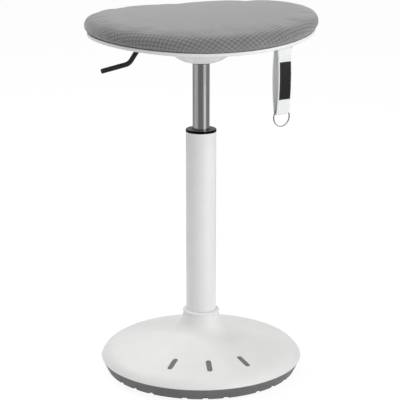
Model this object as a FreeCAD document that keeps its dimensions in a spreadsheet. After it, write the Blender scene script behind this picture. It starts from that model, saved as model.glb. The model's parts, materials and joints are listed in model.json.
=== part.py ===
import FreeCAD, Part
import math
import os

import Sketcher
from FreeCAD import Placement, Rotation, Vector

# Wobble stool: a weighted base that rolls on its rounded foot, a gas spring in a column,
# and a round saddle-shaped seat with a height lever and a carrying strap.
# Millimetres, +Z up, origin on the floor under the column.

SIZES = {
    # rocking base
    "rim_radius": 169.4,
    "rim_level": 26.5,
    "shoulder_reach": 150.0,
    "shoulder_level": 43.3,
    "shoulder_bend": 30.5,
    "dome_reach": 58.0,
    "dome_level": 66.4,
    "dome_bend": 1500.0,
    "flare_level": 93.0,
    "flare_reach": 31.9,
    "flare_bend": 33.8,
    "neck_reach": 29.3,
    "neck_level": 101.4,
    "neck_bead": 3.1,
    "neck_head_reach": 27.6,
    "neck_head": 107.2,
    "neck_bore": 26.0,
    "cover_wall": 3.0,
    "foot_edge_reach": 159.7,
    "foot_edge_level": 7.0,
    "foot_inner_reach": 120.0,
    "foot_seat_level": 8.2,
    "flat_reach": 55.0,
    "pad_thickness": 3.0,
    "pan_rib_count": 8,
    "plate_reach": 140.0,
    "plate_level": 12.0,
    "plate_thickness": 12.0,
    "tread_reach": 154.0,
    "tread_depth": 4.0,
    "tread_mouth": 9.0,
    "tread_crest": 1.6,
    "tread_group_count": 8,
    "tread_step": 12.0,
    "base_screw_count": 6,
    "base_screw_distance": 105.0,
    "hub_bolt_count": 4,
    "hub_bolt_distance": 45.0,
    "inlay_length": 30.0,
    "inlay_width": 9.0,
    "inlay_reach": 124.0,
    "inlay_recess": 0.5,
    "inlay_thickness": 1.8,
    # column and swivel bearing
    "column_reach": 25.0,
    "column_wall": 1.5,
    "column_foot": 26.0,
    "column_head": 413.8,
    "bush_flange": 4.2,
    "bush_depth": 70.0,
    "foot_plate_level": 42.0,
    "foot_plate_thickness": 4.0,
    "race_thickness": 2.0,
    "ball_reach": 8.5,
    "ball_size": 1.6,
    "ball_count": 10,
    # gas spring
    "cylinder_reach": 14.0,
    "cylinder_wall": 1.7,
    "cylinder_foot": 95.0,
    "cylinder_head": 544.0,
    "taper_length": 16.0,
    "taper_reach": 13.5,
    "rod_reach": 5.0,
    "rod_foot": 33.0,
    "rod_head": 352.0,
    "piston_height": 14.0,
    "fit_gap": 0.3,
    "valve_pin_reach": 3.0,
    "valve_pin_head": 549.6,
    # seat
    "seat_turn": 15.0,
    "seam_level": 579.0,
    "seam_reach": 184.0,
    "saddle_tilt": 4.2,
    "saddle_bow": 5.1,
    "cushion_reach": 190.0,
    "cushion_height": 26.2,
    "cushion_crown": 3.5,
    "cushion_top_round": 17.0,
    "cushion_seam_round": 9.0,
    "rim_band": 5.6,
    "shell_wall": 3.0,
    "shell_step_reach": 146.0,
    "shell_depth": 14.0,
    "shell_screw_count": 6,
    "shell_screw_distance": 122.0,
    "board_reach": 142.0,
    "board_thickness": 10.0,
    "bowl_mouth": 80.0,
    "bowl_mouth_level": 563.5,
    "bowl_flare": 62.0,
    "bowl_flare_level": 552.4,
    "bowl_waist": 45.0,
    "bowl_waist_level": 540.0,
    "bowl_lip": 31.0,
    "bowl_lip_level": 531.5,
    "bowl_hole": 16.6,
    "bowl_foot_level": 528.3,
    # seat bracket, height lever
    "bracket_foot": 538.0,
    "bracket_head": 567.0,
    "bracket_sheet": 3.0,
    "bracket_half_width": 22.0,
    "socket_foot": 532.2,
    "lever_turn": 196.0,
    "lever_reach": 4.0,
    "lever_level": 554.0,
    "lever_first_bend": 105.0,
    "lever_elbow": 120.0,
    "lever_elbow_level": 531.5,
    "lever_end": 166.0,
    "lever_end_level": 521.3,
    "fulcrum_distance": 38.0,
    "fulcrum_level": 547.0,
    "fulcrum_reach": 2.5,
    # carrying strap and ring
    "strap_turn": -57.0,
    "strap_right": 126.1,
    "strap_front": 100.2,
    "strap_width": 25.0,
    "webbing": 2.0,
    "strand_bend": 330.0,
    "bar_reach": 3.0,
    "bar_level": 569.8,
    "fold_reach": 2.4,
    "fold_level": 467.5,
    "label_width": 21.0,
    "label_sheet": 0.8,
    "label_foot": 488.5,
    "label_length": 59.0,
    "key_ring_reach": 15.0,
    "key_ring_wire": 1.0,
    "key_ring_drop": 8.5,
}

Z_AXIS = Vector(0, 0, 1)
Y_AXIS = Vector(0, 1, 0)
ORIGIN = Vector(0, 0, 0)

doc = FreeCAD.newDocument("WobbleStool")
sheet = doc.addObject("Spreadsheet::Sheet", "Dims")
for row, (alias, number) in enumerate(SIZES.items(), start=1):
    sheet.set(f"A{row}", alias.replace("_", " "))
    sheet.set(f"B{row}", str(number))
    sheet.setAlias(f"B{row}", alias)
doc.recompute()

pieces = {}


class Size:
    """A length kept as a number and as the expression that binds it to the sheet."""

    def __init__(self, text, value):
        self.text = text
        self.value = value

    def combined(self, other, sign, value):
        """The two sizes joined by an operator sign."""
        return Size(f"({self.text} {sign} {as_size(other).text})", value)

    def __add__(self, other):
        return self.combined(other, "+", self.value + as_size(other).value)

    def __sub__(self, other):
        return self.combined(other, "-", self.value - as_size(other).value)

    def __mul__(self, other):
        return self.combined(other, "*", self.value * as_size(other).value)

    def __truediv__(self, other):
        return self.combined(other, "/", self.value / as_size(other).value)


def as_size(amount):
    """Turn a plain number into a Size."""
    if isinstance(amount, Size):
        return amount
    return Size(repr(float(amount)), float(amount))


def size(alias):
    """The sheet's cell of that name as a Size."""
    return Size(f"Dims.{alias}", float(sheet.get(alias)))


def number(alias):
    """The plain value of a cell."""
    return float(sheet.get(alias))


def bind(thing, path, amount):
    """Bind a property of an object to a size."""
    thing.setExpression(path, as_size(amount).text)


def keep(thing, label):
    """Give a piece its name and list it for export."""
    thing.Label = label
    pieces[label] = thing
    return thing


def origin_plane(body, role):
    """One of the body's own origin planes."""
    for feature in body.Origin.OriginFeatures:
        if feature.Role == role:
            return feature
    raise ValueError(role)


def arc_middle(start, end, bend):
    """The middle of an arc of that radius from start to end; a negative radius bows down."""
    chord = end - start
    half = chord.Length / 2
    rise = abs(bend) - math.sqrt(bend * bend - half * half)
    side = Vector(-chord.y, chord.x, 0).normalize()
    if chord.x < 0:
        side = side * -1
    return (start + end) * 0.5 + side * math.copysign(rise, bend)


def sketch_outline(body, name, corners, role="XZ_Plane"):
    """A closed sketch through corners of (across, up) or (across, up, arc radius to the next)."""
    sketch = body.newObject("Sketcher::SketchObject", name)
    sketch.AttachmentSupport = [(origin_plane(body, role), "")]
    sketch.MapMode = "FlatFace"
    corners = [tuple(as_size(part) for part in corner) for corner in corners]
    spots = [Vector(corner[0].value, corner[1].value, 0) for corner in corners]
    starts = []
    for index, corner in enumerate(corners):
        start = spots[index]
        end = spots[(index + 1) % len(corners)]
        if len(corner) == 2:
            sketch.addGeometry(Part.LineSegment(start, end))
            starts.append((1, 2))
            continue
        middle = arc_middle(start, end, corner[2].value)
        sketch.addGeometry(Part.Arc(start, middle, end))
        first = sketch.getPoint(index, 1)
        starts.append((1, 2) if first.isEqual(start, 1e-4) else (2, 1))
    for index, corner in enumerate(corners):
        follower = (index + 1) % len(corners)
        sketch.addConstraint(Sketcher.Constraint(
            "Coincident", index, starts[index][1], follower, starts[follower][0]))
    for index, corner in enumerate(corners):
        for kind, amount, axis in (("DistanceX", corner[0], -2), ("DistanceY", corner[1], -1)):
            if amount.value == 0:
                sketch.addConstraint(Sketcher.Constraint(
                    "PointOnObject", index, starts[index][0], axis))
                continue
            place = sketch.addConstraint(Sketcher.Constraint(
                kind, -1, 1, index, starts[index][0], amount.value))
            bind(sketch, f"Constraints[{place}]", amount)
        if len(corner) == 3:
            bend = Size(f"abs({corner[2].text})", abs(corner[2].value))
            place = sketch.addConstraint(Sketcher.Constraint("Radius", index, bend.value))
            bind(sketch, f"Constraints[{place}]", bend)
    return sketch


def turned(label, corners, kept=True):
    """A piece turned about Z from an outline of (radius, height) corners."""
    body = doc.addObject("PartDesign::Body", label)
    sketch = sketch_outline(body, label + "_profile", corners)
    turn = body.newObject("PartDesign::Revolution", label + "_turning")
    turn.Profile = sketch
    turn.ReferenceAxis = (sketch, ["V_Axis"])
    turn.Angle = 360
    sketch.Visibility = False
    doc.recompute()
    if kept:
        keep(body, label)
    return body


def tube(label, inner, outer, foot, head, kept=True):
    """A plain ring or tube between two heights."""
    corners = [(inner, foot), (outer, foot), (outer, head), (inner, head)]
    return turned(label, corners, kept)


def block(name, length, width, height, right, back, foot):
    """A box with bound sizes and place."""
    solid = doc.addObject("Part::Box", name)
    for path, amount in (("Length", length), ("Width", width), ("Height", height)):
        bind(solid, path, amount)
    for path, amount in (("x", right), ("y", back), ("z", foot)):
        bind(solid, f"Placement.Base.{path}", amount)
    return solid


def fused(name, solids):
    """Several solids joined into one."""
    join = doc.addObject("Part::MultiFuse", name)
    join.Shapes = solids
    join.Refine = True
    return join


def cut(name, base, tool):
    """One solid cut by another."""
    result = doc.addObject("Part::Cut", name)
    result.Base = base
    result.Tool = tool
    result.Refine = True
    return result


def feature(name, shape, turn=0.0, spot=ORIGIN):
    """An object that holds a computed shape, turned about Z and moved into place."""
    thing = doc.addObject("Part::Feature", name)
    thing.Shape = shape
    thing.Placement = Placement(spot, Rotation(Z_AXIS, turn)).multiply(shape.Placement)
    return thing


def around(shape, turns, reach=0.0):
    """Copies of a shape moved out along X and turned about Z, as one compound."""
    copies = []
    for turn in turns:
        copy = shape.copy()
        copy.translate(Vector(reach, 0, 0))
        copy.rotate(ORIGIN, Z_AXIS, turn)
        copies.append(copy)
    return Part.makeCompound(copies)


def ring_of(count, start=0.0):
    """Evenly spaced angles round a circle."""
    return [start + 360.0 / count * index for index in range(int(count))]


def screw(head_reach, head_foot, head_height, shank_reach, shank_foot, shank_height, drive=0.0):
    """A screw with a round head, a shank and a hexagonal drive hole on the head's outer face."""
    head = Part.makeCylinder(head_reach, head_height, Vector(0, 0, head_foot))
    shank = Part.makeCylinder(shank_reach, shank_height, Vector(0, 0, shank_foot))
    solid = head.fuse(shank).removeSplitter()
    if not drive:
        return solid
    corners = [Vector(drive * math.cos(math.radians(a)), drive * math.sin(math.radians(a)), 0)
               for a in ring_of(6)]
    socket = Part.Face(Part.makePolygon(corners + corners[:1]))
    depth = head_height / 2
    head_is_below = head_foot < shank_foot
    level = head_foot if head_is_below else head_foot + head_height - depth
    socket.translate(Vector(0, 0, level))
    return solid.cut(socket.extrude(Vector(0, 0, depth)))


# Cover of the base: an outer and an inner turned form

rim = size("rim_radius")
wall = size("cover_wall")
cover_form = turned("cover_form", [
    (0, size("rim_level")),
    (rim, size("rim_level"), size("shoulder_bend")),
    (size("shoulder_reach"), size("shoulder_level"), size("dome_bend")),
    (size("dome_reach"), size("dome_level"), size("flare_bend") * -1),
    (size("flare_reach"), size("flare_level")),
    (size("neck_reach"), size("neck_level"), size("neck_bead")),
    (size("neck_head_reach"), size("neck_head")),
    (0, size("neck_head")),
], kept=False)
cover_hollow = turned("cover_hollow", [
    (0, size("rim_level") - 1),
    (rim - wall, size("rim_level") - 1),
    (rim - wall, size("rim_level"), size("shoulder_bend") - wall),
    (size("shoulder_reach") - 1, size("shoulder_level") - wall, size("dome_bend")),
    (size("dome_reach") - 1, size("dome_level") - wall, size("flare_bend") * -1 - wall),
    (size("flare_reach") - wall, size("flare_level") - 1),
    (size("neck_bore"), size("neck_level") - wall),
    (size("neck_bore"), size("neck_head") + 1),
    (0, size("neck_head") + 1),
], kept=False)
doc.recompute()


def pill(length, width, height):
    """An upright round-ended prism centred on the axis, lying along X."""
    straight = (length - width) / 2
    half = width / 2
    edges = []
    for side in (1, -1):
        line_start = Vector(side * straight, -side * half, 0)
        line_end = Vector(side * straight, side * half, 0)
        tip = Vector(side * (straight + half), 0, 0)
        edges.append(Part.Arc(line_start, tip, line_end).toShape())
        edges.append(Part.LineSegment(line_end, Vector(-side * straight, side * half, 0)).toShape())
    return Part.Face(Part.Wire(edges)).extrude(Vector(0, 0, height))


INLAY_TURNS = (-112.0, -84.0, -56.0)


def inlay_pins():
    """The three upright pills that mark the inlays, spread along an arc of the dome."""
    one = pill(number("inlay_length"), number("inlay_width"), number("neck_level"))
    return around(one, INLAY_TURNS, number("inlay_reach"))


BOSS_TURNS = ring_of(number("base_screw_count"), 30.0)
BOSS_REACH = number("base_screw_distance")
BOSS_RADIUS = 6.5
BOSS_BORE_DEPTH = 20.0
SCREW_BORE = 2.6
BACKING_MARGIN = 4.0
BACKING_DEPTH = 2.5

dome = cover_form.Shape
pins = inlay_pins()
below_inlay = dome.translated(Vector(0, 0, -number("inlay_recess") - number("inlay_thickness")))
below_recess = dome.translated(Vector(0, 0, -number("inlay_recess")))
pockets = pins.common(dome.cut(below_inlay))
boss_foot = number("plate_level") + number("plate_thickness") + number("fit_gap")
boss = Part.makeCylinder(BOSS_RADIUS, number("neck_level") - boss_foot, Vector(0, 0, boss_foot))
boss_bore = Part.makeCylinder(SCREW_BORE, BOSS_BORE_DEPTH, Vector(0, 0, boss_foot))
bosses = around(boss, BOSS_TURNS, BOSS_REACH).common(dome)
backing_form = pill(number("inlay_length") + BACKING_MARGIN, number("inlay_width") + BACKING_MARGIN,
                    number("neck_level"))
backing = around(backing_form, INLAY_TURNS, number("inlay_reach")).common(dome)
backing = backing.cut(dome.translated(Vector(0, 0, -number("cover_wall") - BACKING_DEPTH)))
shell = dome.cut(cover_hollow.Shape).fuse(bosses).fuse(backing).cut(pockets)
shell = shell.cut(around(boss_bore, BOSS_TURNS, BOSS_REACH)).removeSplitter()
keep(feature("base_cover", shell), "base_cover")
keep(feature("cover_inlays", pins.common(below_recess.cut(below_inlay))), "cover_inlays")

COLLAR_DEPTH = 12.0
tube("cover_collar", size("column_reach") + 0.1, size("neck_bore") - 0.1,
     size("neck_level") - COLLAR_DEPTH, size("neck_head") - 0.3)

# Rocking foot: the outer ring, the pan, the pad and the weight

foot_rise = number("foot_edge_level")
foot_run = number("foot_edge_reach") - number("flat_reach")
FOOT_BEND = (foot_run ** 2 + foot_rise ** 2) / (2 * foot_rise)


def foot_height(reach):
    """Height of the rounded foot's underside above the floor at that distance from the axis."""
    return FOOT_BEND - math.sqrt(FOOT_BEND ** 2 - (reach - number("flat_reach")) ** 2)


inner_reach = size("foot_inner_reach")
seat_height = size("foot_seat_level")
rocker_ring_form = turned("rocker_ring_form", [
    (inner_reach, as_size(foot_height(inner_reach.value)), FOOT_BEND * -1),
    (size("foot_edge_reach"), size("foot_edge_level")),
    (rim - 0.3, size("rim_level") - 0.2),
    (rim - wall - 5, size("rim_level") - 0.2),
    (rim - wall - 13, seat_height + 5),
    (rim - wall - 13, seat_height - 0.2),
    (inner_reach, seat_height - 0.2),
], kept=False)

TREAD_CENTRE = -87.5
TREAD_LENGTH = 30.0
TREAD_SLOPE = 12.0
tread_turns = [centre + step * number("tread_step")
               for centre in ring_of(number("tread_group_count"), TREAD_CENTRE)
               for step in (-1, 0, 1)]
tread_start = number("tread_reach")
tread_foot = foot_height(tread_start) - number("tread_depth")
tread_head = foot_height(tread_start) + number("tread_depth")
half_crest = number("tread_crest") / 2
half_mouth = number("tread_mouth") - half_crest
tread_section = [Vector(tread_start, -half_mouth, tread_foot),
                 Vector(tread_start, half_mouth, tread_foot),
                 Vector(tread_start, half_crest, tread_head),
                 Vector(tread_start, -half_crest, tread_head)]
tread = Part.Face(Part.makePolygon(tread_section + tread_section[:1]))
tread = tread.extrude(Vector(TREAD_LENGTH, 0, 0))
tread.rotate(Vector(tread_start, 0, foot_height(tread_start)), Y_AXIS, -TREAD_SLOPE)
treads = feature("tread_grooves", around(tread, tread_turns))
doc.recompute()
keep(cut("rocker_ring", rocker_ring_form, treads), "rocker_ring")

flat = size("flat_reach")
pad = size("pad_thickness")
plate_level = size("plate_level")
PAN_LIFT = 0.6
RIB_START = 21.0
RIB_LENGTH = 96.0
RIB_WIDTH = 3.0
RIB_HEIGHT = 4.9
POST_RADIUS = 7.5
HEAD_BORE = 5.2
HEAD_BORE_DEPTH = 5.4
THROUGH = 60.0
rocker_pan_form = turned("rocker_pan_form", [
    (0, pad + 0.2),
    (flat + 0.3, pad + 0.2),
    (flat + 0.3, PAN_LIFT, FOOT_BEND * -1),
    (inner_reach - 0.3, foot_height(inner_reach.value) + PAN_LIFT),
    (inner_reach - 0.3, seat_height),
    (rim - wall - 15, seat_height),
    (rim - wall - 15, plate_level - 0.2),
    (size("plate_reach") - 24, plate_level - 0.2),
    (size("plate_reach") - 24, plate_level - 5),
    (0, plate_level - 5),
], kept=False)
rib_foot = number("plate_level") - RIB_HEIGHT - 0.2
rib = Part.makeBox(RIB_LENGTH, RIB_WIDTH, RIB_HEIGHT, Vector(RIB_START, -RIB_WIDTH / 2, rib_foot))
ribs = feature("pan_ribs", around(rib, ring_of(number("pan_rib_count"))))
shank_holes = around(Part.makeCylinder(SCREW_BORE + 0.3, THROUGH), BOSS_TURNS, BOSS_REACH)
head_holes = around(Part.makeCylinder(HEAD_BORE, HEAD_BORE_DEPTH), BOSS_TURNS, BOSS_REACH)
pan_screw_holes = feature("pan_screw_holes", shank_holes.fuse(head_holes))
pan_posts = feature("pan_posts", around(
    Part.makeCylinder(POST_RADIUS, RIB_HEIGHT + 0.1, Vector(0, 0, rib_foot - 0.1)),
    BOSS_TURNS, BOSS_REACH))
keep(cut("rocker_pan", fused("rocker_pan_solid", [rocker_pan_form, ribs, pan_posts]),
         pan_screw_holes), "rocker_pan")

turned("floor_pad", [
    (0, 0),
    (flat - 1, 0),
    (flat, 1),
    (flat, pad),
    (0, pad),
])

HUB_BOLT_REACH = number("hub_bolt_distance")
HUB_BOLT_TURNS = ring_of(number("hub_bolt_count"), 45.0)
HUB_BOLT_RADIUS = 4.0
HUB_BOLT_HEAD = 6.5
HUB_BOLT_HEAD_HEIGHT = 5.5
HUB_BOLT_KEY = 3.4
HUB_FLANGE = 31.0
HUB_FLANGE_HEIGHT = 6.0
HUB_WALL = 5.0
HUB_HEIGHT = 42.0
PLATE_BORE_GAP = 7.0
BASE_SCREW_HEAD = 4.6
BASE_SCREW_HEAD_HEIGHT = 2.8
BASE_SCREW_LENGTH = 30.0
BASE_SCREW_KEY = 2.3
plate_top = plate_level + size("plate_thickness")
plate_form = tube("weight_plate_form", size("column_reach") + PLATE_BORE_GAP, size("plate_reach"),
                  plate_level, plate_top, kept=False)
bolt_holes = around(Part.makeCylinder(HUB_BOLT_RADIUS + 0.1, THROUGH), HUB_BOLT_TURNS, HUB_BOLT_REACH)
plate_screw_holes = around(Part.makeCylinder(SCREW_BORE + 0.9, THROUGH), BOSS_TURNS, BOSS_REACH)
plate_holes = feature("plate_holes", bolt_holes.fuse(plate_screw_holes))
keep(cut("weight_plate", plate_form, plate_holes), "weight_plate")

column = size("column_reach")
column_inner = column - size("column_wall")
hub_foot = plate_top + 0.1
hub_form = turned("column_hub_form", [
    (column + 0.05, hub_foot),
    (column + HUB_FLANGE, hub_foot),
    (column + HUB_FLANGE, hub_foot + HUB_FLANGE_HEIGHT),
    (column + HUB_WALL + 4, hub_foot + HUB_FLANGE_HEIGHT),
    (column + HUB_WALL, hub_foot + HUB_FLANGE_HEIGHT * 2),
    (column + HUB_WALL, hub_foot + HUB_HEIGHT),
    (column + 0.05, hub_foot + HUB_HEIGHT),
], kept=False)
hub_holes = feature("hub_holes", bolt_holes)
keep(cut("column_hub", hub_form, hub_holes), "column_hub")

hub_head = hub_foot.value + HUB_FLANGE_HEIGHT + 0.1
bolt_foot = number("plate_level") + 1
hub_bolt = screw(HUB_BOLT_HEAD, hub_head, HUB_BOLT_HEAD_HEIGHT, HUB_BOLT_RADIUS, bolt_foot,
                 hub_head - bolt_foot, drive=HUB_BOLT_KEY)
keep(feature("hub_bolts", around(hub_bolt, HUB_BOLT_TURNS, HUB_BOLT_REACH)), "hub_bolts")
base_screw = screw(BASE_SCREW_HEAD, HEAD_BORE_DEPTH - BASE_SCREW_HEAD_HEIGHT, BASE_SCREW_HEAD_HEIGHT,
                   SCREW_BORE - 0.1, HEAD_BORE_DEPTH, BASE_SCREW_LENGTH, drive=BASE_SCREW_KEY)
keep(feature("base_screws", around(base_screw, BOSS_TURNS, BOSS_REACH)), "base_screws")

# Column: tube, guide bush, foot plate

tube("column_tube", column_inner, column, size("column_foot"), size("column_head"))
column_head = size("column_head")
bush_bore = size("cylinder_reach") + size("fit_gap")
turned("column_guide_bush", [
    (bush_bore, column_head - size("bush_depth")),
    (column_inner - 0.1, column_head - size("bush_depth")),
    (column_inner - 0.1, column_head + 0.05),
    (column + 0.3, column_head + 0.05),
    (column + 0.3, column_head + size("bush_flange") - 0.8, 1.5),
    (column - 0.9, column_head + size("bush_flange")),
    (bush_bore + 1, column_head + size("bush_flange")),
    (bush_bore, column_head + size("bush_flange") - 1),
])
rod_reach = size("rod_reach")
plate_foot = size("foot_plate_level")
plate_head = plate_foot + size("foot_plate_thickness")
race = size("race_thickness")
tube("column_foot_plate", rod_reach + 0.6, column_inner - 0.05, plate_foot, plate_head)
tube("bearing_lower_race", rod_reach + 0.6, rod_reach + 6.5, plate_head, plate_head + race)

# Swivelling rod with its piston

ball_level = plate_head + race + size("ball_size") + 0.05
ball = Part.makeSphere(number("ball_size"), Vector(0, 0, ball_level.value))
keep(feature("bearing_balls", around(ball, ring_of(number("ball_count")),
                                     number("ball_reach"))), "bearing_balls")
race_level = ball_level + size("ball_size") + 0.05
tube("bearing_upper_race", rod_reach, rod_reach + 6.5, race_level, race_level + race)
rod_bush = size("rod_foot")
turned("piston_rod", [
    (0, rod_bush),
    (rod_reach - 1, rod_bush),
    (rod_reach, rod_bush + 1),
    (rod_reach, size("rod_head")),
    (0, size("rod_head")),
])
tube("rod_clip", rod_reach, rod_reach + 4, plate_foot - 3.2, plate_foot - 0.4)
turned("bump_stop", [
    (rod_reach, race_level + race),
    (rod_reach + 6, race_level + race),
    (rod_reach + 5, race_level + race + 4),
    (rod_reach + 6, race_level + race + 8),
    (rod_reach, race_level + race + 8),
])
cylinder_reach = size("cylinder_reach")
bore_reach = cylinder_reach - size("cylinder_wall")
piston_foot = size("rod_head")
turned("piston_head", [
    (0, piston_foot),
    (bore_reach - 0.3, piston_foot),
    (bore_reach - 0.3, piston_foot + 5),
    (bore_reach - 2, piston_foot + 5),
    (bore_reach - 2, piston_foot + 9),
    (bore_reach - 0.3, piston_foot + 9),
    (bore_reach - 0.3, piston_foot + size("piston_height")),
    (0, piston_foot + size("piston_height")),
])
tube("piston_seal", bore_reach - 2, bore_reach - 0.15, piston_foot + 5.1, piston_foot + 8.9)

# Gas cylinder, fixed in the seat's socket

cylinder_foot = size("cylinder_foot")
cylinder_head = size("cylinder_head")
taper_foot = cylinder_head - size("taper_length")
pin_reach = size("valve_pin_reach")
turned("gas_cylinder", [
    (bore_reach, cylinder_foot),
    (cylinder_reach - 1, cylinder_foot),
    (cylinder_reach, cylinder_foot + 1),
    (cylinder_reach, taper_foot),
    (size("taper_reach"), cylinder_head - 1),
    (size("taper_reach") - 1, cylinder_head),
    (pin_reach + 0.3, cylinder_head),
    (pin_reach + 0.3, cylinder_head - 3),
    (size("taper_reach") - 3, cylinder_head - 3),
    (bore_reach, taper_foot - 6),
])
tube("cylinder_seal", rod_reach + 0.2, bore_reach - 0.05, cylinder_foot + 0.5, cylinder_foot + 9)
turned("valve_block", [
    (0, taper_foot - 30),
    (bore_reach - 0.1, taper_foot - 30),
    (bore_reach - 0.1, taper_foot - 6.2),
    (size("taper_reach") - 3.2, cylinder_head - 3.2),
    (pin_reach + 0.3, cylinder_head - 3.2),
    (pin_reach + 0.3, taper_foot - 4),
    (0, taper_foot - 4),
])
turned("valve_pin", [
    (0, taper_foot),
    (pin_reach, taper_foot),
    (pin_reach, size("valve_pin_head") - 1),
    (pin_reach - 1, size("valve_pin_head")),
    (0, size("valve_pin_head")),
])

# Seat: saddle surfaces that the cushion, the board and the shell share

SADDLE_SPAN = 230.0
SLICE_DEPTH = 80.0
SLICE_HEIGHT = 200.0
EDGE_RISE = 30.0


def saddle(level, crown=0.0):
    """The seat's saddle as one face at that height, with an optional crown, turned into place."""
    reach = number("seam_reach")
    tilt = number("saddle_tilt") / reach
    along = (number("saddle_bow") - crown) / reach ** 2
    across = (-number("saddle_bow") - crown) / reach ** 2
    surface = Part.BezierSurface()
    surface.increase(2, 2)
    for row in range(3):
        for column_index in range(3):
            right = SADDLE_SPAN * (row - 1)
            back = SADDLE_SPAN * (column_index - 1)
            bow_right = SADDLE_SPAN ** 2 * (1 if row != 1 else -1)
            bow_back = SADDLE_SPAN ** 2 * (1 if column_index != 1 else -1)
            height = level + crown + tilt * right + along * bow_right + across * bow_back
            surface.setPole(row + 1, column_index + 1, Vector(right, back, height))
    return surface.toShape()


def between(reach, low_level, high_level, crown=0.0):
    """A round slice of the seat between two saddle surfaces."""
    depth = Vector(0, 0, SLICE_DEPTH)
    blank = Part.makeCylinder(reach, SLICE_HEIGHT, Vector(0, 0, number("seam_level") - SLICE_HEIGHT / 2))
    under = saddle(high_level, crown).extrude(depth * -1)
    over = saddle(low_level).extrude(depth)
    return blank.common(under).common(over)


def rim_edges(shape, reach, upper):
    """The edges that run round the outside of a slice, upper or lower."""
    found = []
    for edge in shape.Edges:
        box = edge.BoundBox
        outside = max(box.XMax, -box.XMin, box.YMax, -box.YMin) >= reach - 0.5
        if outside and box.ZLength <= EDGE_RISE:
            found.append((edge, (box.ZMin + box.ZMax) / 2))
    levels = [level for edge, level in found]
    split = (max(levels) + min(levels)) / 2
    return [edge for edge, level in found if (level > split) == upper]


seam = number("seam_level")
seat_turn = number("seat_turn")
cushion = between(number("cushion_reach"), seam, seam + number("cushion_height"),
                  number("cushion_crown"))
cushion = cushion.makeFillet(number("cushion_top_round"),
                             rim_edges(cushion, number("cushion_reach"), True))
cushion = cushion.makeFillet(number("cushion_seam_round"),
                             rim_edges(cushion, number("cushion_reach"), False))
keep(feature("seat_cushion", cushion, seat_turn), "seat_cushion")

board_head = seam - 0.4
board = between(number("board_reach"), board_head - number("board_thickness"), board_head)
BOARD_SCREW_SPOTS = [Vector(side * 50, end * 32, 0) for side in (1, -1) for end in (1, -1)]
BOARD_BORE = 3.1
BOARD_BORE_DEPTH = 12.0
board_holes = Part.makeCompound([
    Part.makeCylinder(BOARD_BORE, BOARD_BORE_DEPTH, spot + Vector(0, 0, number("bracket_head") - 1))
    for spot in BOARD_SCREW_SPOTS])
board_holes.rotate(ORIGIN, Z_AXIS, number("lever_turn") - seat_turn)
SHELL_SCREW_TURNS = ring_of(number("shell_screw_count"), 15.0)
SHELL_SCREW_REACH = number("shell_screw_distance")
SHELL_SCREW_FOOT = seam - 17.5
SHELL_SCREW_SHANK = 2.0
SHELL_BORE_DEPTH = 22.0
board_bore = Part.makeCylinder(SHELL_SCREW_SHANK + 0.1, SHELL_BORE_DEPTH, Vector(0, 0, SHELL_SCREW_FOOT))
shell_bore = Part.makeCylinder(SHELL_SCREW_SHANK + 0.3, SHELL_BORE_DEPTH, Vector(0, 0, SHELL_SCREW_FOOT))
board = board.cut(board_holes).cut(around(board_bore, SHELL_SCREW_TURNS, SHELL_SCREW_REACH))
keep(feature("seat_board", board, seat_turn), "seat_board")

strap_spot = Vector(number("strap_right"), -number("strap_front"), 0)
strap_turn = number("strap_turn")
strap_in_seat = Placement(ORIGIN, Rotation(Z_AXIS, -seat_turn)).multiply(
    Placement(strap_spot, Rotation(Z_AXIS, strap_turn)))
HOLDER_SCREW_SPOTS = [Vector(0.5, side * 19.5, 0) for side in (1, -1)]
HOLDER_SCREW_SHANK = 1.5
holder_bores = Part.makeCompound([
    Part.makeCylinder(HOLDER_SCREW_SHANK + 0.2, SHELL_BORE_DEPTH, spot + Vector(0, 0, SHELL_SCREW_FOOT))
    for spot in HOLDER_SCREW_SPOTS])
holder_bores.Placement = strap_in_seat


def bowl(shrink, mouth_level):
    """The bowl under the seat, shrunk by a wall and closed at its mouth."""
    foot = number("bowl_foot_level") + shrink
    start = Vector(0, 0, foot)
    floor_end = Vector(number("bowl_hole") + 2, 0, foot)
    lip = Vector(number("bowl_lip") - shrink / 2, 0, number("bowl_lip_level") + shrink)
    waist = Vector(number("bowl_waist") - shrink, 0, number("bowl_waist_level") + shrink * 0.6)
    flare = Vector(number("bowl_flare") - shrink, 0, number("bowl_flare_level") + shrink * 0.4)
    mouth = Vector(number("bowl_mouth") - shrink, 0, number("bowl_mouth_level"))
    brim = Vector(mouth.x, 0, mouth_level)
    crown = Vector(0, 0, mouth_level)
    outline = Part.Wire([
        Part.LineSegment(start, floor_end).toShape(),
        Part.Arc(floor_end, lip, waist).toShape(),
        Part.Arc(waist, flare, mouth).toShape(),
        Part.LineSegment(mouth, brim).toShape(),
        Part.LineSegment(brim, crown).toShape(),
        Part.LineSegment(crown, start).toShape(),
    ])
    return Part.Face(outline).revolve(ORIGIN, Z_AXIS, 360)


wall_size = number("shell_wall")
seam_reach = number("seam_reach")
step_reach = number("shell_step_reach")
rim_foot = seam - number("rim_band")
pan_foot = seam - number("shell_depth")
SEAM_GAP = 0.3
RIM_ROUND = 2.0
RIM_WALL = 4.0
POCKET_RISE = 5.0
rim_part = between(seam_reach, rim_foot, seam - SEAM_GAP)
rim_part = rim_part.makeFillet(RIM_ROUND, rim_edges(rim_part, seam_reach, False))
pan_part = between(step_reach, pan_foot, seam - SEAM_GAP)
shell_form = rim_part.fuse(pan_part).fuse(bowl(0, pan_foot + wall_size - 0.5))
pocket_rim = between(seam_reach - RIM_WALL, rim_foot + wall_size, seam + POCKET_RISE)
pocket_pan = between(step_reach - wall_size, pan_foot + wall_size, seam + POCKET_RISE)
shell_form = shell_form.cut(pocket_rim).cut(pocket_pan)
shell_form = shell_form.cut(bowl(wall_size, seam - POCKET_RISE))
BOWL_BORE_DEPTH = 60.0
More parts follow.
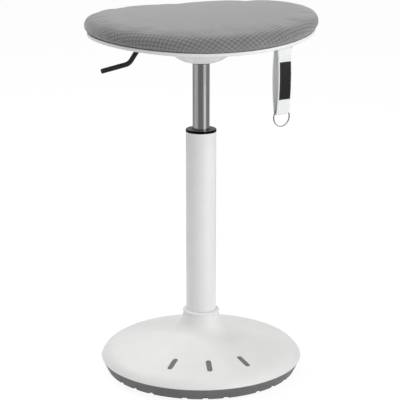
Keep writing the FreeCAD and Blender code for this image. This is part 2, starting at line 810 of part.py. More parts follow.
shell_form = shell_form.cut(Part.makeCylinder(
    number("bowl_hole"), BOWL_BORE_DEPTH, Vector(0, 0, number("bowl_foot_level") - BOWL_BORE_DEPTH / 2)))
LEVER_SLOT_START = 48.0
LEVER_SLOT_LENGTH = 40.0
LEVER_SLOT_WIDTH = 15.0
LEVER_SLOT_FOOT = 547.5
LEVER_SLOT_HEIGHT = 15.5
lever_slot = Part.makeBox(LEVER_SLOT_LENGTH, LEVER_SLOT_WIDTH, LEVER_SLOT_HEIGHT,
                          Vector(LEVER_SLOT_START, -LEVER_SLOT_WIDTH / 2, LEVER_SLOT_FOOT))
lever_slot.rotate(ORIGIN, Z_AXIS, number("lever_turn") - seat_turn)
STRAP_POCKET_LENGTH = 15.0
STRAP_POCKET_WIDTH = 28.0
strap_pocket = Part.makeBox(STRAP_POCKET_LENGTH, STRAP_POCKET_WIDTH, SHELL_BORE_DEPTH, Vector(
    -STRAP_POCKET_LENGTH / 2, -STRAP_POCKET_WIDTH / 2, SHELL_SCREW_FOOT))
strap_pocket.Placement = strap_in_seat.multiply(strap_pocket.Placement)
shell_form = shell_form.cut(lever_slot).cut(strap_pocket).cut(holder_bores)
shell_form = shell_form.cut(around(shell_bore, SHELL_SCREW_TURNS, SHELL_SCREW_REACH)).removeSplitter()
keep(feature("seat_shell", shell_form, seat_turn), "seat_shell")


def underside(spot, foot):
    """Height, over a place in the seat's own turned frame, of a saddle that is that high midway."""
    tilt = number("saddle_tilt") * spot.x / seam_reach
    bow = number("saddle_bow") * (spot.x ** 2 - spot.y ** 2) / seam_reach ** 2
    return foot + tilt + bow


SCREW_HEAD_GAP = 0.2
shell_screw_group = []
for turn in SHELL_SCREW_TURNS:
    angle = math.radians(turn)
    spot = Vector(SHELL_SCREW_REACH * math.cos(angle), SHELL_SCREW_REACH * math.sin(angle), 0)
    under = underside(spot, pan_foot)
    one = screw(4.0, under - 2.4, 2.2, SHELL_SCREW_SHANK, under - SCREW_HEAD_GAP, 11, drive=2.0)
    shell_screw_group.append(one.translated(spot))
keep(feature("shell_screws", Part.makeCompound(shell_screw_group), seat_turn), "shell_screws")

GROMMET_LIP = 1.6
bowl_floor = size("bowl_foot_level")
turned("shell_grommet", [
    (cylinder_reach + 0.1, bowl_floor - 1.3),
    (size("bowl_hole") - 0.2, bowl_floor - 1.3),
    (size("bowl_hole") - 0.2, bowl_floor - 0.3),
    (size("bowl_hole") + GROMMET_LIP, bowl_floor - 0.3),
    (size("bowl_hole") + GROMMET_LIP, bowl_floor - 0.1),
    (size("bowl_hole") - 0.2, bowl_floor),
    (size("bowl_hole") - 0.2, bowl_floor + size("shell_wall") + 0.3),
    (cylinder_reach + 0.1, bowl_floor + size("shell_wall") + 0.3),
])

# Seat bracket: a folded channel with a top plate and a conical socket

lever_turn = size("lever_turn")
sheet_size = size("bracket_sheet")
bracket_foot = size("bracket_foot")
bracket_head = size("bracket_head")
half_width = size("bracket_half_width")
channel = doc.addObject("PartDesign::Body", "bracket_channel")
channel_outline = sketch_outline(channel, "bracket_channel_outline", [
    (-28, bracket_foot),
    (28, bracket_foot),
    (42, bracket_foot + 8),
    (52, bracket_head - sheet_size),
    (-45, bracket_head - sheet_size),
])
channel_pad = channel.newObject("PartDesign::Pad", "bracket_channel_pad")
channel_pad.Profile = channel_outline
channel_pad.SideType = "Symmetric"
bind(channel_pad, "Length", half_width * 2)
doc.recompute()
BRACKET_LENGTH = 124.0
BRACKET_WIDTH = 84.0
channel_hollow = block("bracket_hollow", BRACKET_LENGTH, (half_width - sheet_size) * 2,
                       bracket_head - bracket_foot - sheet_size, -BRACKET_LENGTH / 2,
                       (half_width - sheet_size) * -1, bracket_foot + sheet_size)
bracket_plate = block("bracket_plate", BRACKET_LENGTH, BRACKET_WIDTH, sheet_size,
                      -BRACKET_LENGTH / 2, -BRACKET_WIDTH / 2, bracket_head - sheet_size)
socket_outer = tube("bracket_socket", cylinder_reach - 6, cylinder_reach + 4.2,
                    size("socket_foot"), bracket_foot + sheet_size, kept=False)
socket_bore = turned("bracket_socket_bore", [
    (0, taper_foot - 10),
    (cylinder_reach + 0.05, taper_foot - 10),
    (cylinder_reach + 0.05, taper_foot),
    (size("taper_reach") + 0.05, cylinder_head - 1),
    (size("taper_reach") + 0.05, cylinder_head + 1),
    (0, cylinder_head + 1),
], kept=False)
fulcrum_bore = doc.addObject("Part::Cylinder", "fulcrum_bore")
bind(fulcrum_bore, "Radius", size("fulcrum_reach") + 0.1)
bind(fulcrum_bore, "Height", 80)
fulcrum_bore.Placement = Placement(ORIGIN, Rotation(Vector(1, 0, 0), 90))
bind(fulcrum_bore, "Placement.Base.x", size("fulcrum_distance"))
bind(fulcrum_bore, "Placement.Base.y", 40)
bind(fulcrum_bore, "Placement.Base.z", size("fulcrum_level"))
screw_bores = feature("bracket_screw_bores", Part.makeCompound([
    Part.makeCylinder(3.3, 12, spot + Vector(0, 0, number("bracket_head") - 8))
    for spot in BOARD_SCREW_SPOTS]))
walls = cut("bracket_walls", channel, channel_hollow)
bracket_solid = fused("bracket_solid", [walls, bracket_plate, socket_outer])
bracket_tools = fused("bracket_tools", [socket_bore, fulcrum_bore, screw_bores])
bracket_tools.Refine = False
bracket = keep(cut("seat_bracket", bracket_solid, bracket_tools), "seat_bracket")
bracket.Placement = Placement(ORIGIN, Rotation(Z_AXIS, 1))
bind(bracket, "Placement.Rotation.Angle", lever_turn)

under_plate = number("bracket_head") - number("bracket_sheet")
keep(feature("bracket_screws", Part.makeCompound([
    screw(5.0, under_plate - 3.2, 3.0, 3.0, under_plate - 0.2, 11.5, drive=2.5).translated(spot)
    for spot in BOARD_SCREW_SPOTS]), number("lever_turn")), "bracket_screws")

PIN_END = 1.2
pin = doc.addObject("Part::Cylinder", "lever_pin")
bind(pin, "Radius", size("fulcrum_reach"))
bind(pin, "Height", (half_width + PIN_END) * 2)
pin_frame = Placement(ORIGIN, Rotation(Vector(1, 0, 0), 90))
lever_frame = Placement(ORIGIN, Rotation(Z_AXIS, number("lever_turn")))
pin_spot = Placement(Vector(number("fulcrum_distance"), number("bracket_half_width") + PIN_END,
                            number("fulcrum_level")), Rotation())
pin.Placement = lever_frame.multiply(pin_spot).multiply(pin_frame)
keep(pin, "lever_pin")

# Height lever: a bent rod and the yoke that carries it on the pin


def bent_path(spots, bends):
    """A wire of straight runs through the spots, with a tangent arc at each inner spot."""
    edges = []
    start = spots[0]
    for before, corner, after, bend in zip(spots, spots[1:], spots[2:], bends):
        back = (before - corner).normalize()
        ahead = (after - corner).normalize()
        half_turn = back.getAngle(ahead) / 2
        reach = bend / math.tan(half_turn)
        first = corner + back * reach
        last = corner + ahead * reach
        inward = (back + ahead).normalize()
        middle = corner + inward * (bend / math.sin(half_turn) - bend)
        edges.append(Part.LineSegment(start, first).toShape())
        edges.append(Part.Arc(first, middle, last).toShape())
        start = last
    edges.append(Part.LineSegment(start, spots[-1]).toShape())
    return Part.Wire(edges)


LEVER_BENDS = (12.0, 16.0)
LEVER_HEEL = -3.5
LEVER_END_ROUND = 1.5
YOKE_START = -9.6
YOKE_LENGTH = 14.0
YOKE_WIDTH = 16.0
YOKE_HEIGHT = 16.8
YOKE_FOOT = 543.2
lever_level = number("lever_level")
lever_path = bent_path([
    Vector(LEVER_HEEL, 0, lever_level),
    Vector(number("lever_first_bend"), 0, lever_level),
    Vector(number("lever_elbow"), 0, number("lever_elbow_level")),
    Vector(number("lever_end"), 0, number("lever_end_level")),
], LEVER_BENDS)
lever_section = Part.Wire(Part.makeCircle(
    number("lever_reach"), Vector(LEVER_HEEL, 0, lever_level), Vector(1, 0, 0)))
lever_solid = lever_path.makePipeShell([lever_section], True, True)
end_edges = [edge for edge in lever_solid.Edges if edge.BoundBox.XMin > number("lever_end") - 2]
lever_solid = lever_solid.makeFillet(LEVER_END_ROUND, end_edges)
yoke_box = Part.makeBox(YOKE_LENGTH, YOKE_WIDTH, YOKE_HEIGHT, Vector(
    number("fulcrum_distance") + YOKE_START, -YOKE_WIDTH / 2, YOKE_FOOT))
yoke_bore = Part.makeCylinder(number("lever_reach"), THROUGH, Vector(0, 0, lever_level), Vector(1, 0, 0))
yoke_pin_bore = Part.makeCylinder(number("fulcrum_reach") + 0.1, THROUGH, Vector(
    number("fulcrum_distance"), -THROUGH / 2, number("fulcrum_level")), Y_AXIS)
keep(feature("height_lever", lever_solid, number("lever_turn")), "height_lever")
keep(feature("lever_yoke", yoke_box.cut(yoke_bore).cut(yoke_pin_bore), number("lever_turn")),
     "lever_yoke")

# Carrying strap on its bar, with a label and a ring


webbing = number("webbing")
strap_width = number("strap_width")
bar_level = number("bar_level")
fold_level = number("fold_level")
strand_bend = number("strand_bend")
bar_line = number("bar_reach") + 0.2 + webbing / 2
fold_line = number("fold_reach") + webbing / 2
bar_away = strand_bend - bar_line
fold_away = strand_bend - fold_line
strand_level = (bar_level + fold_level) / 2 - (bar_away ** 2 - fold_away ** 2) / (
    2 * (bar_level - fold_level))
strand_back = math.sqrt(bar_away ** 2 - (bar_level - strand_level) ** 2)


def strand_spot(side, height, reach):
    """The point of a strand's arc on the line from the arc's centre past a spot on the loop's axis."""
    centre = Vector(-side * strand_back, 0, strand_level)
    return centre + (Vector(0, 0, height) - centre).normalize() * reach


def loop_wire(offset):
    """The closed outline of the loop, that far outside the webbing's middle line."""
    reach = strand_bend + offset
    bar_front = strand_spot(1, bar_level, reach)
    bar_rear = strand_spot(-1, bar_level, reach)
    fold_front = strand_spot(1, fold_level, reach)
    fold_rear = strand_spot(-1, fold_level, reach)
    bar_top = Vector(0, 0, bar_level + bar_line + offset)
    fold_foot = Vector(0, 0, fold_level - fold_line - offset)
    return Part.Wire([
        Part.Arc(bar_front, strand_spot(1, strand_level, reach), fold_front).toShape(),
        Part.Arc(fold_front, fold_foot, fold_rear).toShape(),
        Part.Arc(fold_rear, strand_spot(-1, strand_level, reach), bar_rear).toShape(),
        Part.Arc(bar_rear, bar_top, bar_front).toShape(),
    ])


outer_face = Part.Face(loop_wire(webbing / 2))
inner_face = Part.Face(loop_wire(-webbing / 2))
strap_solid = outer_face.cut(inner_face).extrude(Vector(0, strap_width, 0))
strap_solid.translate(Vector(0, -strap_width / 2, 0))
keep(feature("carry_strap", strap_solid, strap_turn, strap_spot), "carry_strap")
print(f"webbing length {loop_wire(0).Length:.1f} mm")

label_width = number("label_width")
label_inner = strand_bend + webbing / 2 + 0.02
label_outer = label_inner + number("label_sheet")
label_start = math.asin((number("label_foot") - strand_level) / label_inner)
label_turn = number("label_length") / label_inner
label_centre = Vector(-strand_back, 0, strand_level)


def label_spot(reach, share):
    """A point of the label's section at that share of its length."""
    angle = label_start + label_turn * share
    return label_centre + Vector(math.cos(angle), 0, math.sin(angle)) * reach


label_section = Part.Wire([
    Part.Arc(*[label_spot(label_inner, share) for share in (0, 0.5, 1)]).toShape(),
    Part.LineSegment(label_spot(label_inner, 1), label_spot(label_outer, 1)).toShape(),
    Part.Arc(*[label_spot(label_outer, share) for share in (1, 0.5, 0)]).toShape(),
    Part.LineSegment(label_spot(label_outer, 0), label_spot(label_inner, 0)).toShape(),
])
label_solid = Part.Face(label_section).extrude(Vector(0, label_width, 0))
label_solid.translate(Vector(0, -label_width / 2, 0))
keep(feature("strap_label", label_solid, strap_turn, strap_spot), "strap_label")

key_ring = doc.addObject("Part::Torus", "key_ring")
bind(key_ring, "Radius1", size("key_ring_reach"))
bind(key_ring, "Radius2", size("key_ring_wire"))
key_ring.Placement = Placement(
    strap_spot + Vector(0, 0, fold_level - number("key_ring_drop")),
    Rotation(Z_AXIS, strap_turn).multiply(Rotation(Y_AXIS, 90)))
keep(key_ring, "key_ring")

CHEEK_REACH = 4.5
CHEEK_START = 13.8
CHEEK = 2.8
FLANGE = 2.4
FLANGE_START = -5.0
FLANGE_LENGTH = 11.0
FLANGE_END = 22.0
holder_parts = []
holder_cuts = []
holder_screw_group = []
for side, screw_spot in zip((1, -1), HOLDER_SCREW_SPOTS):
    flange_corners = [strap_in_seat.multVec(Vector(across, side * along, 0))
                      for across in (FLANGE_START, FLANGE_START + FLANGE_LENGTH)
                      for along in (CHEEK_START, FLANGE_END)]
    flange_head = min(underside(corner, rim_foot) for corner in flange_corners) - SCREW_HEAD_GAP
    cheek_back = CHEEK_START if side > 0 else -CHEEK_START - CHEEK
    flange_back = CHEEK_START if side > 0 else -FLANGE_END
    holder_parts.append(Part.makeCylinder(
        CHEEK_REACH, CHEEK, Vector(0, cheek_back, bar_level), Y_AXIS).common(Part.makeBox(
            CHEEK_REACH * 2, CHEEK, CHEEK_REACH + flange_head - bar_level,
            Vector(-CHEEK_REACH, cheek_back, bar_level - CHEEK_REACH))))
    holder_parts.append(Part.makeBox(CHEEK_REACH * 2, CHEEK, flange_head - bar_level,
                                     Vector(-CHEEK_REACH, cheek_back, bar_level)))
    holder_parts.append(Part.makeBox(FLANGE_LENGTH, FLANGE_END - CHEEK_START, FLANGE,
                                     Vector(FLANGE_START, flange_back, flange_head - FLANGE)))
    holder_cuts.append(Part.makeCylinder(HOLDER_SCREW_SHANK + 0.2, SHELL_BORE_DEPTH,
                                         screw_spot + Vector(0, 0, bar_level)))
    flange_foot = flange_head - FLANGE
    one = screw(2.6, flange_foot - 1.8, 1.6, HOLDER_SCREW_SHANK, flange_foot - SCREW_HEAD_GAP, 5.4,
                drive=1.2)
    holder_screw_group.append(one.translated(screw_spot))
half_bar = CHEEK_START + CHEEK
holder_bar = Part.makeCylinder(number("bar_reach"), half_bar * 2, Vector(0, -half_bar, bar_level), Y_AXIS)
holder_solid = holder_bar.multiFuse(holder_parts).cut(Part.makeCompound(holder_cuts)).removeSplitter()
keep(feature("strap_holder", holder_solid, strap_turn, strap_spot), "strap_holder")
keep(feature("holder_screws", Part.makeCompound(holder_screw_group), strap_turn, strap_spot),
     "holder_screws")

doc.recompute()

# Checks and export

for thing in doc.Objects:
    states = set(thing.State)
    if "Invalid" in states or "Error" in states:
        raise RuntimeError(f"{thing.Label}: {thing.State}")
os.makedirs("parts", exist_ok=True)
for label, thing in pieces.items():
    shape = thing.Shape
    if shape.isNull() or not shape.isValid() or shape.Volume <= 0:
        raise RuntimeError(f"{label}: no valid shape")
for label, thing in pieces.items():
    thing.Shape.exportStep(f"parts/{label}.step")
    box = thing.Shape.BoundBox
    print(f"{label}: solids {len(thing.Shape.Solids)}, volume {thing.Shape.Volume / 1000:.1f} cm3, "
          f"z {box.ZMin:.1f} to {box.ZMax:.1f}")
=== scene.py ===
"""Looks of a wobble stool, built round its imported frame.

The rigid parts come from the frame and are dressed here in their finishes. The seat cushion, the
carrying strap with its label and stitches, and the split ring are built here. Metres, +Z up.
"""

import json
import logging
import math
from dataclasses import dataclass, field
from enum import Enum
from typing import Any, Callable, Iterable, Sequence

import bmesh
import bpy
from mathutils import Euler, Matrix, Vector, noise

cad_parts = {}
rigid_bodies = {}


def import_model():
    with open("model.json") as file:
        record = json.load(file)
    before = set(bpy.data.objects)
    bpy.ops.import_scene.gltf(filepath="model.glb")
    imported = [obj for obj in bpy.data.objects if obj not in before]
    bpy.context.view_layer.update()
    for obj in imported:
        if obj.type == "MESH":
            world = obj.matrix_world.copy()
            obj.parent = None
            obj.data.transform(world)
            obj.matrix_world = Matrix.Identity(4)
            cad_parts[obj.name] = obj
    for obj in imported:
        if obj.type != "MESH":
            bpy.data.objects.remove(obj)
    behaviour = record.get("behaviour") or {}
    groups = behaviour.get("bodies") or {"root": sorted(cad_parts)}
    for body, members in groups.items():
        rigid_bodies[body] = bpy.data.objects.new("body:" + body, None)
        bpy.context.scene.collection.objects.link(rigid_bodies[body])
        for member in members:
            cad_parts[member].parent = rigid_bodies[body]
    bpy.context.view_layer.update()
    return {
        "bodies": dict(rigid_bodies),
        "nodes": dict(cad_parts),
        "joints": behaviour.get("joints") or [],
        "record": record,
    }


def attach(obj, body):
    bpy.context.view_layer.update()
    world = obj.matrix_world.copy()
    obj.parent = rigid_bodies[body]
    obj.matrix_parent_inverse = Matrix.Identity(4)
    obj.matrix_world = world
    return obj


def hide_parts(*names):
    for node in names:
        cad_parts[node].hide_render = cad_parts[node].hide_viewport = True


LOG = logging.getLogger("wobble_stool")
MM = 0.001
Tree = bpy.types.NodeTree
Socket = bpy.types.NodeSocket
Piece = bpy.types.Object
Triple = tuple[float, float, float]


class Body(Enum):
    """The moving bodies that pieces of this scene ride on."""

    SEAT = "seat"
    STRAP = "strap"
    RING = "ring"


def linear(colour: str) -> tuple[float, float, float, float]:
    """Turn an sRGB hex colour into the linear one that a shader takes.

    Args:
        colour: the colour as six hex digits after a hash.

    Returns:
        Red, green, blue and an alpha of one.
    """
    parts = [int(colour[start:start + 2], 16) / 255 for start in (1, 3, 5)]
    red, green, blue = (part / 12.92 if part <= 0.04045 else ((part + 0.055) / 1.055) ** 2.4
                        for part in parts)
    return red, green, blue, 1.0


def add_node(tree: Tree, kind: str, settings: dict[str, Any] | None = None,
             inputs: dict[str | int, Any] | None = None) -> bpy.types.Node:
    """Add a node to a tree.

    Args:
        tree: the tree that gets it.
        kind: the node's type.
        settings: its properties by name.
        inputs: its sockets by name or number, each with a value or an output to link.

    Returns:
        The new node.
    """
    node = tree.nodes.new(kind)
    for name, value in (settings or {}).items():
        setattr(node, name, value)
    for name, value in (inputs or {}).items():
        if isinstance(value, Socket):
            tree.links.new(value, node.inputs[name])
        else:
            node.inputs[name].default_value = value
    return node


def math_node(tree: Tree, operation: str, *values: Any) -> Socket:
    """The result of a math node.

    Args:
        tree: the tree that gets it.
        operation: what it does.
        values: its numbers, or the outputs that feed it, in order.

    Returns:
        The result's socket.
    """
    return add_node(tree, "ShaderNodeMath", {"operation": operation},
                    dict(enumerate(values))).outputs[0]


def seen_directly(tree: Tree) -> Socket:
    """One for the camera's, gloss's and glass's rays, and nought for diffuse light."""
    path = add_node(tree, "ShaderNodeLightPath")
    seen = math_node(tree, "MAXIMUM", path.outputs["Is Camera Ray"], path.outputs["Is Glossy Ray"])
    return math_node(tree, "MAXIMUM", seen, path.outputs["Is Transmission Ray"])


def bare_tree(owner: bpy.types.Material | bpy.types.World) -> Tree:
    """The emptied node tree of a material or a world."""
    owner.use_nodes = True
    owner.node_tree.nodes.clear()
    return owner.node_tree


def linked(name: str, data: bpy.types.ID) -> Piece:
    """A new object with that data, put into the scene."""
    thing = bpy.data.objects.new(name, data)
    bpy.context.scene.collection.objects.link(thing)
    return thing


class Pattern(Enum):
    """Where a finish's pattern lies."""

    SOLID = "object coordinates"
    CLOTH = "the piece's own cloth map"


@dataclass(frozen=True)
class Finish:
    """A surface with mottled colour, uneven shine and a fine grain, at sizes in millimetres."""

    name: str
    light: str
    dark: str
    roughness: float
    metallic: float = 0.0
    ior: float = 1.5
    sheen: float = 0.0
    patch: float = 45.0
    grain: float = 0.8
    relief: float = 0.02
    unevenness: float = 0.06
    stretch: Triple = (1.0, 1.0, 1.0)
    pattern: Pattern = Pattern.SOLID

    def material(self) -> bpy.types.Material:
        """The finish as a material, made once."""
        known = bpy.data.materials.get(self.name)
        if known:
            return known
        material = bpy.data.materials.new(self.name)
        tree = bare_tree(material)
        place = self.place(tree)
        shader = add_node(tree, "ShaderNodeBsdfPrincipled", inputs={
            "Base Color": self.colour(tree, place),
            "Roughness": self.shine(tree, place),
            "Metallic": self.metallic,
            "IOR": self.ior,
            "Sheen Weight": self.sheen,
            "Normal": self.surface(tree, place),
        })
        add_node(tree, "ShaderNodeOutputMaterial", inputs={"Surface": shader.outputs["BSDF"]})
        return material

    def place(self, tree: Tree) -> Socket:
        """The coordinates, in metres, that the pattern follows."""
        if self.pattern is Pattern.CLOTH:
            return add_node(tree, "ShaderNodeUVMap", {"uv_map": CLOTH_MAP}).outputs["UV"]
        source = add_node(tree, "ShaderNodeTexCoord").outputs["Object"]
        return add_node(tree, "ShaderNodeMapping", inputs={
            "Vector": source, "Scale": self.stretch}).outputs["Vector"]

    def speckle(self, tree: Tree, place: Socket, size: float, detail: float = 3.0) -> Socket:
        """A noise whose patches are about that many millimetres across."""
        return add_node(tree, "ShaderNodeTexNoise", inputs={
            "Vector": place, "Scale": 1 / (size * MM), "Detail": detail}).outputs["Fac"]

    def colour(self, tree: Tree, place: Socket) -> Socket:
        """The colour, which drifts between the dark and the light one."""
        return self.ramp(tree, self.speckle(tree, place, self.patch), 0.3, 0.7)

    def ramp(self, tree: Tree, factor: Socket, low: float, high: float) -> Socket:
        """The dark colour below one factor, the light one above another.

        Args:
            tree: the material's tree.
            factor: the socket that is looked up.
            low: the factor at which the dark colour ends.
            high: the factor at which the light colour starts.

        Returns:
            The colour's socket.
        """
        node = add_node(tree, "ShaderNodeValToRGB", inputs={"Fac": factor})
        stops = node.color_ramp.elements
        stops[0].position = low
        stops[0].color = linear(self.dark)
        stops[1].position = high
        stops[1].color = linear(self.light)
        return node.outputs["Color"]

    def shine(self, tree: Tree, place: Socket) -> Socket:
        """The roughness, a little uneven, as handled surfaces are."""
        return add_node(tree, "ShaderNodeMapRange", inputs={
            "Value": self.speckle(tree, place, self.patch / 3, 5.0),
            "From Min": 0.3, "From Max": 0.7,
            "To Min": max(self.roughness - self.unevenness, 0.02),
            "To Max": self.roughness + self.unevenness,
        }).outputs["Result"]

    def height(self, tree: Tree, place: Socket) -> Socket:
        """The fine grain's height, from nought to one."""
        return self.speckle(tree, place, self.grain, 2.0)

    def surface(self, tree: Tree, place: Socket) -> Socket:
        """The grain as a bump of the finish's relief."""
        return add_node(tree, "ShaderNodeBump", inputs={
            "Strength": 1.0,
            "Distance": self.relief * MM,
            "Height": self.height(tree, place),
        }).outputs["Normal"]

    def wave(self, tree: Tree, value: Socket, pitch: float) -> Socket:
        """A sine along a coordinate in metres, with a pitch in millimetres."""
        angle = math_node(tree, "MULTIPLY", value, 2 * math.pi / (pitch * MM))
        return math_node(tree, "SINE", angle)


@dataclass(frozen=True)
class SpacerMesh(Finish):
    """Knitted spacer fabric: rows of small open cells, lighter threads round holes that are
    darkened with painted shade.
    """

    cell: float = 5.2
    row_share: float = 1.6
    pattern: Pattern = Pattern.CLOTH

    def cells(self, tree: Tree, place: Socket) -> Socket:
        """The knit's cells in a diamond lattice, from minus one in a hole to one on a thread."""
        axes = add_node(tree, "ShaderNodeSeparateXYZ", inputs={"Vector": place})
        across = self.wave(tree, axes.outputs["X"], self.cell * 2)
        along = self.wave(tree, axes.outputs["Y"], self.cell * self.row_share)
        return math_node(tree, "MULTIPLY", across, along)

    def colour(self, tree: Tree, place: Socket) -> Socket:
        """Threads lighter than the holes between them, whose darker colour is painted shade in the
        openings, with a soft drift from patch to patch.
        """
        share = math_node(tree, "MULTIPLY_ADD", self.cells(tree, place), 0.5, 0.5)
        # The dark end of this ramp is painted shade in the knit's holes.
        knit = self.ramp(tree, share, 0.25, 0.85)
        drift = add_node(tree, "ShaderNodeMapRange", inputs={
            "Value": self.speckle(tree, place, self.patch), "From Min": 0.3, "From Max": 0.7,
            "To Min": 0.94, "To Max": 1.05}).outputs["Result"]
        return add_node(tree, "ShaderNodeVectorMath", {"operation": "SCALE"},
                        {0: knit, "Scale": drift}).outputs["Vector"]

    def height(self, tree: Tree, place: Socket) -> Socket:
        """The knit's relief with a little yarn fuzz on it."""
        fuzz = self.speckle(tree, place, self.grain, 2.0)
        knit = math_node(tree, "MULTIPLY_ADD", self.cells(tree, place), 0.4, 0.5)
        return math_node(tree, "MULTIPLY_ADD", fuzz, 0.25, knit)


@dataclass(frozen=True)
class Webbing(Finish):
    """Woven tape: ribs across it that step along its length in a twill."""

    rib: float = 1.6
    slant: float = 0.8
    pattern: Pattern = Pattern.CLOTH

    def ribs(self, tree: Tree, place: Socket) -> Socket:
        """The twill's ribs, from minus one to one."""
        axes = add_node(tree, "ShaderNodeSeparateXYZ", inputs={"Vector": place})
        skew = math_node(tree, "MULTIPLY_ADD", axes.outputs["X"], self.slant, axes.outputs["Y"])
        weft = self.wave(tree, skew, self.rib)
        warp = self.wave(tree, axes.outputs["X"], self.rib)
        return math_node(tree, "MULTIPLY_ADD", warp, 0.5, weft)

    def colour(self, tree: Tree, place: Socket) -> Socket:
        """Ribs a little lighter than the furrows between them, which are darkened with painted
        shade.
        """
        share = math_node(tree, "MULTIPLY_ADD", self.ribs(tree, place), 0.33, 0.5)
        # The dark end of this ramp is painted shade in the furrows between the ribs.
        return self.ramp(tree, share, 0.1, 0.7)

    def height(self, tree: Tree, place: Socket) -> Socket:
        """The ribs' relief."""
        return math_node(tree, "MULTIPLY_ADD", self.ribs(tree, place), 0.3, 0.5)


@dataclass(frozen=True)
class ScuffedFoot(Finish):
    """Rubbery foot ring: floor dust and scuffs that thin out upwards."""

    dust: str = "#828280"
    dust_top: float = 16.0

    def colour(self, tree: Tree, place: Socket) -> Socket:
        """The ring's grey, paler with dust towards the floor."""
        grey = self.ramp(tree, self.speckle(tree, place, self.patch), 0.3, 0.7)
        level = add_node(tree, "ShaderNodeSeparateXYZ", inputs={"Vector": place}).outputs["Z"]
        low = add_node(tree, "ShaderNodeMapRange", inputs={
            "Value": level, "From Min": self.dust_top * MM, "From Max": 0.0,
            "To Min": 0.0, "To Max": 0.55}).outputs["Result"]
        patchy = math_node(tree, "MULTIPLY", low, self.speckle(tree, place, 4.0, 6.0))
        return add_node(tree, "ShaderNodeMix", {"data_type": "RGBA"},
                        {0: patchy, 6: grey, 7: linear(self.dust)}).outputs[2]


@dataclass(frozen=True)
class LayeredPly(Finish):
    """Birch plywood: thin plies edge on, with long grain on the faces."""

    ply: float = 1.4

    def colour(self, tree: Tree, place: Socket) -> Socket:
        """Plies by height, broken up by the grain."""
        axes = add_node(tree, "ShaderNodeSeparateXYZ", inputs={"Vector": place})
        plies = self.wave(tree, axes.outputs["Z"], self.ply * 2)
        grain = self.speckle(tree, place, self.patch)
        return self.ramp(tree, math_node(tree, "MULTIPLY_ADD", plies, 0.2, grain), 0.2, 0.8)


CLOTH_MAP = "cloth"

# Injection-moulded ABS with a fine satin texture: neutral white, with a broad soft gloss.
WHITE_ABS = Finish("satin_white_abs", "#EFEFEE", "#EBEBEA", 0.5, grain=0.9, relief=0.012)
# Moulded polypropylene of the seat's shell: the same white, as matt.
WHITE_PP = Finish("matt_white_polypropylene", "#F0F0EF", "#ECECEB", 0.52, grain=0.7, relief=0.02)
# Powder coat on the steel column: white, faint orange peel in a smooth skin.
WHITE_POWDER = Finish("white_powder_coat", "#F0F0F0", "#ECECEC", 0.4, grain=1.6, relief=0.02)
# Soft TPE inlays: mid grey, velvety.
INLAY_TPE = Finish("soft_grey_tpe", "#727272", "#686868", 0.62, sheen=0.1, grain=0.5, relief=0.03)
# Rubber-like TPE of the rolling ring: grey, matt, dusty towards the floor.
FOOT_TPE = ScuffedFoot("scuffed_grey_tpe", "#6E6E6E", "#646464", 0.6, grain=0.6, relief=0.04)
# Glass-filled nylon pan under the base: grey, coarse moulded grain.
GREY_NYLON = Finish("grained_grey_nylon", "#8A8D90", "#7E8184", 0.55, grain=0.8, relief=0.05)
# Nitrile rubber: almost black, dull.
NITRILE_RUBBER = Finish("black_nitrile_rubber", "#2A2B2C", "#1F2021", 0.7, grain=0.5, relief=0.04)
# Hot-rolled steel plate under clear oil: dark, streaked, half shiny.
OILED_STEEL = Finish("oiled_rolled_steel", "#6E7072", "#4C4E51", 0.42, metallic=1.0, patch=20,
                     grain=1.2, relief=0.03, unevenness=0.12, stretch=(0.3, 1.0, 1.0))
# Bright zinc plate on screws: cool grey with a faint bloom.
ZINC_PLATE = Finish("bright_zinc_plate", "#C9CDD2", "#AEB3BA", 0.28, metallic=1.0, patch=4,
                    grain=0.3, relief=0.01)
# Ground bearing steel: pale and smooth.
GROUND_STEEL = Finish("ground_bearing_steel", "#D2D4D6", "#C4C6C8", 0.16, metallic=1.0, patch=6,
                      grain=0.3, relief=0.004)
# Turned aluminium: light grey, fine tool marks.
TURNED_ALUMINIUM = Finish("turned_aluminium", "#C6C8CA", "#B4B6B9", 0.3, metallic=1.0, patch=8,
                          grain=0.4, relief=0.01, stretch=(0.3, 0.3, 3.0))
# Hard chrome on the gas spring: a mirror with faint lengthwise wiping marks.
HARD_CHROME = Finish("hard_chrome", "#CDCCCD", "#C0BFC0", 0.1, metallic=1.0, patch=12,
                     grain=0.5, relief=0.002, unevenness=0.03, stretch=(1.0, 1.0, 0.12))
# Nickel plate on the split ring: neutral grey, lightly scratched.
NICKEL_PLATE = Finish("nickel_plated_steel", "#9C9C9C", "#747474", 0.22, metallic=1.0, patch=3,
                      grain=0.3, relief=0.01)
# Black nylon of the guide bush: smooth, with a weak reflection.
BLACK_NYLON = Finish("smooth_black_nylon", "#0C0C0D", "#09090A", 0.3, ior=1.15, grain=0.8,
                     relief=0.008)
# Black powder coat on the lever and the bracket: deep black, half matt.
BLACK_POWDER = Finish("black_powder_coat", "#0E0E0F", "#0A0A0B", 0.42, ior=1.4, grain=0.9,
                      relief=0.03)
# Birch plywood.
BIRCH_BOARD = LayeredPly("birch_plywood", "#D8BE93", "#B4935F", 0.55, patch=9, grain=0.6,
                       relief=0.04, stretch=(0.15, 1.0, 1.0))
# Polyester spacer fabric: mid grey, dull, with a faint fuzz. Its light knots stand in staggered
# rows, about 6.6 mm from one to the next. The dark colour between them is painted shade in the
# knit's holes.
GREY_SPACER = SpacerMesh("grey_spacer_mesh", "#8B8B8B", "#6D6D6D", 0.85, sheen=0.45, patch=38,
                         grain=0.7, relief=0.35, unevenness=0.04)
# Polyester webbing: white, slightly shiny yarn. Its real ribs are under a millimetre apart,
# and they are drawn at 1.6 mm so that they show. Its darker colour is painted shade in the furrows.
WHITE_TAPE = Webbing("white_polyester_webbing", "#F2F3F4", "#E2E3E4", 0.6, sheen=0.1,
                     grain=0.4, relief=0.12, unevenness=0.05)
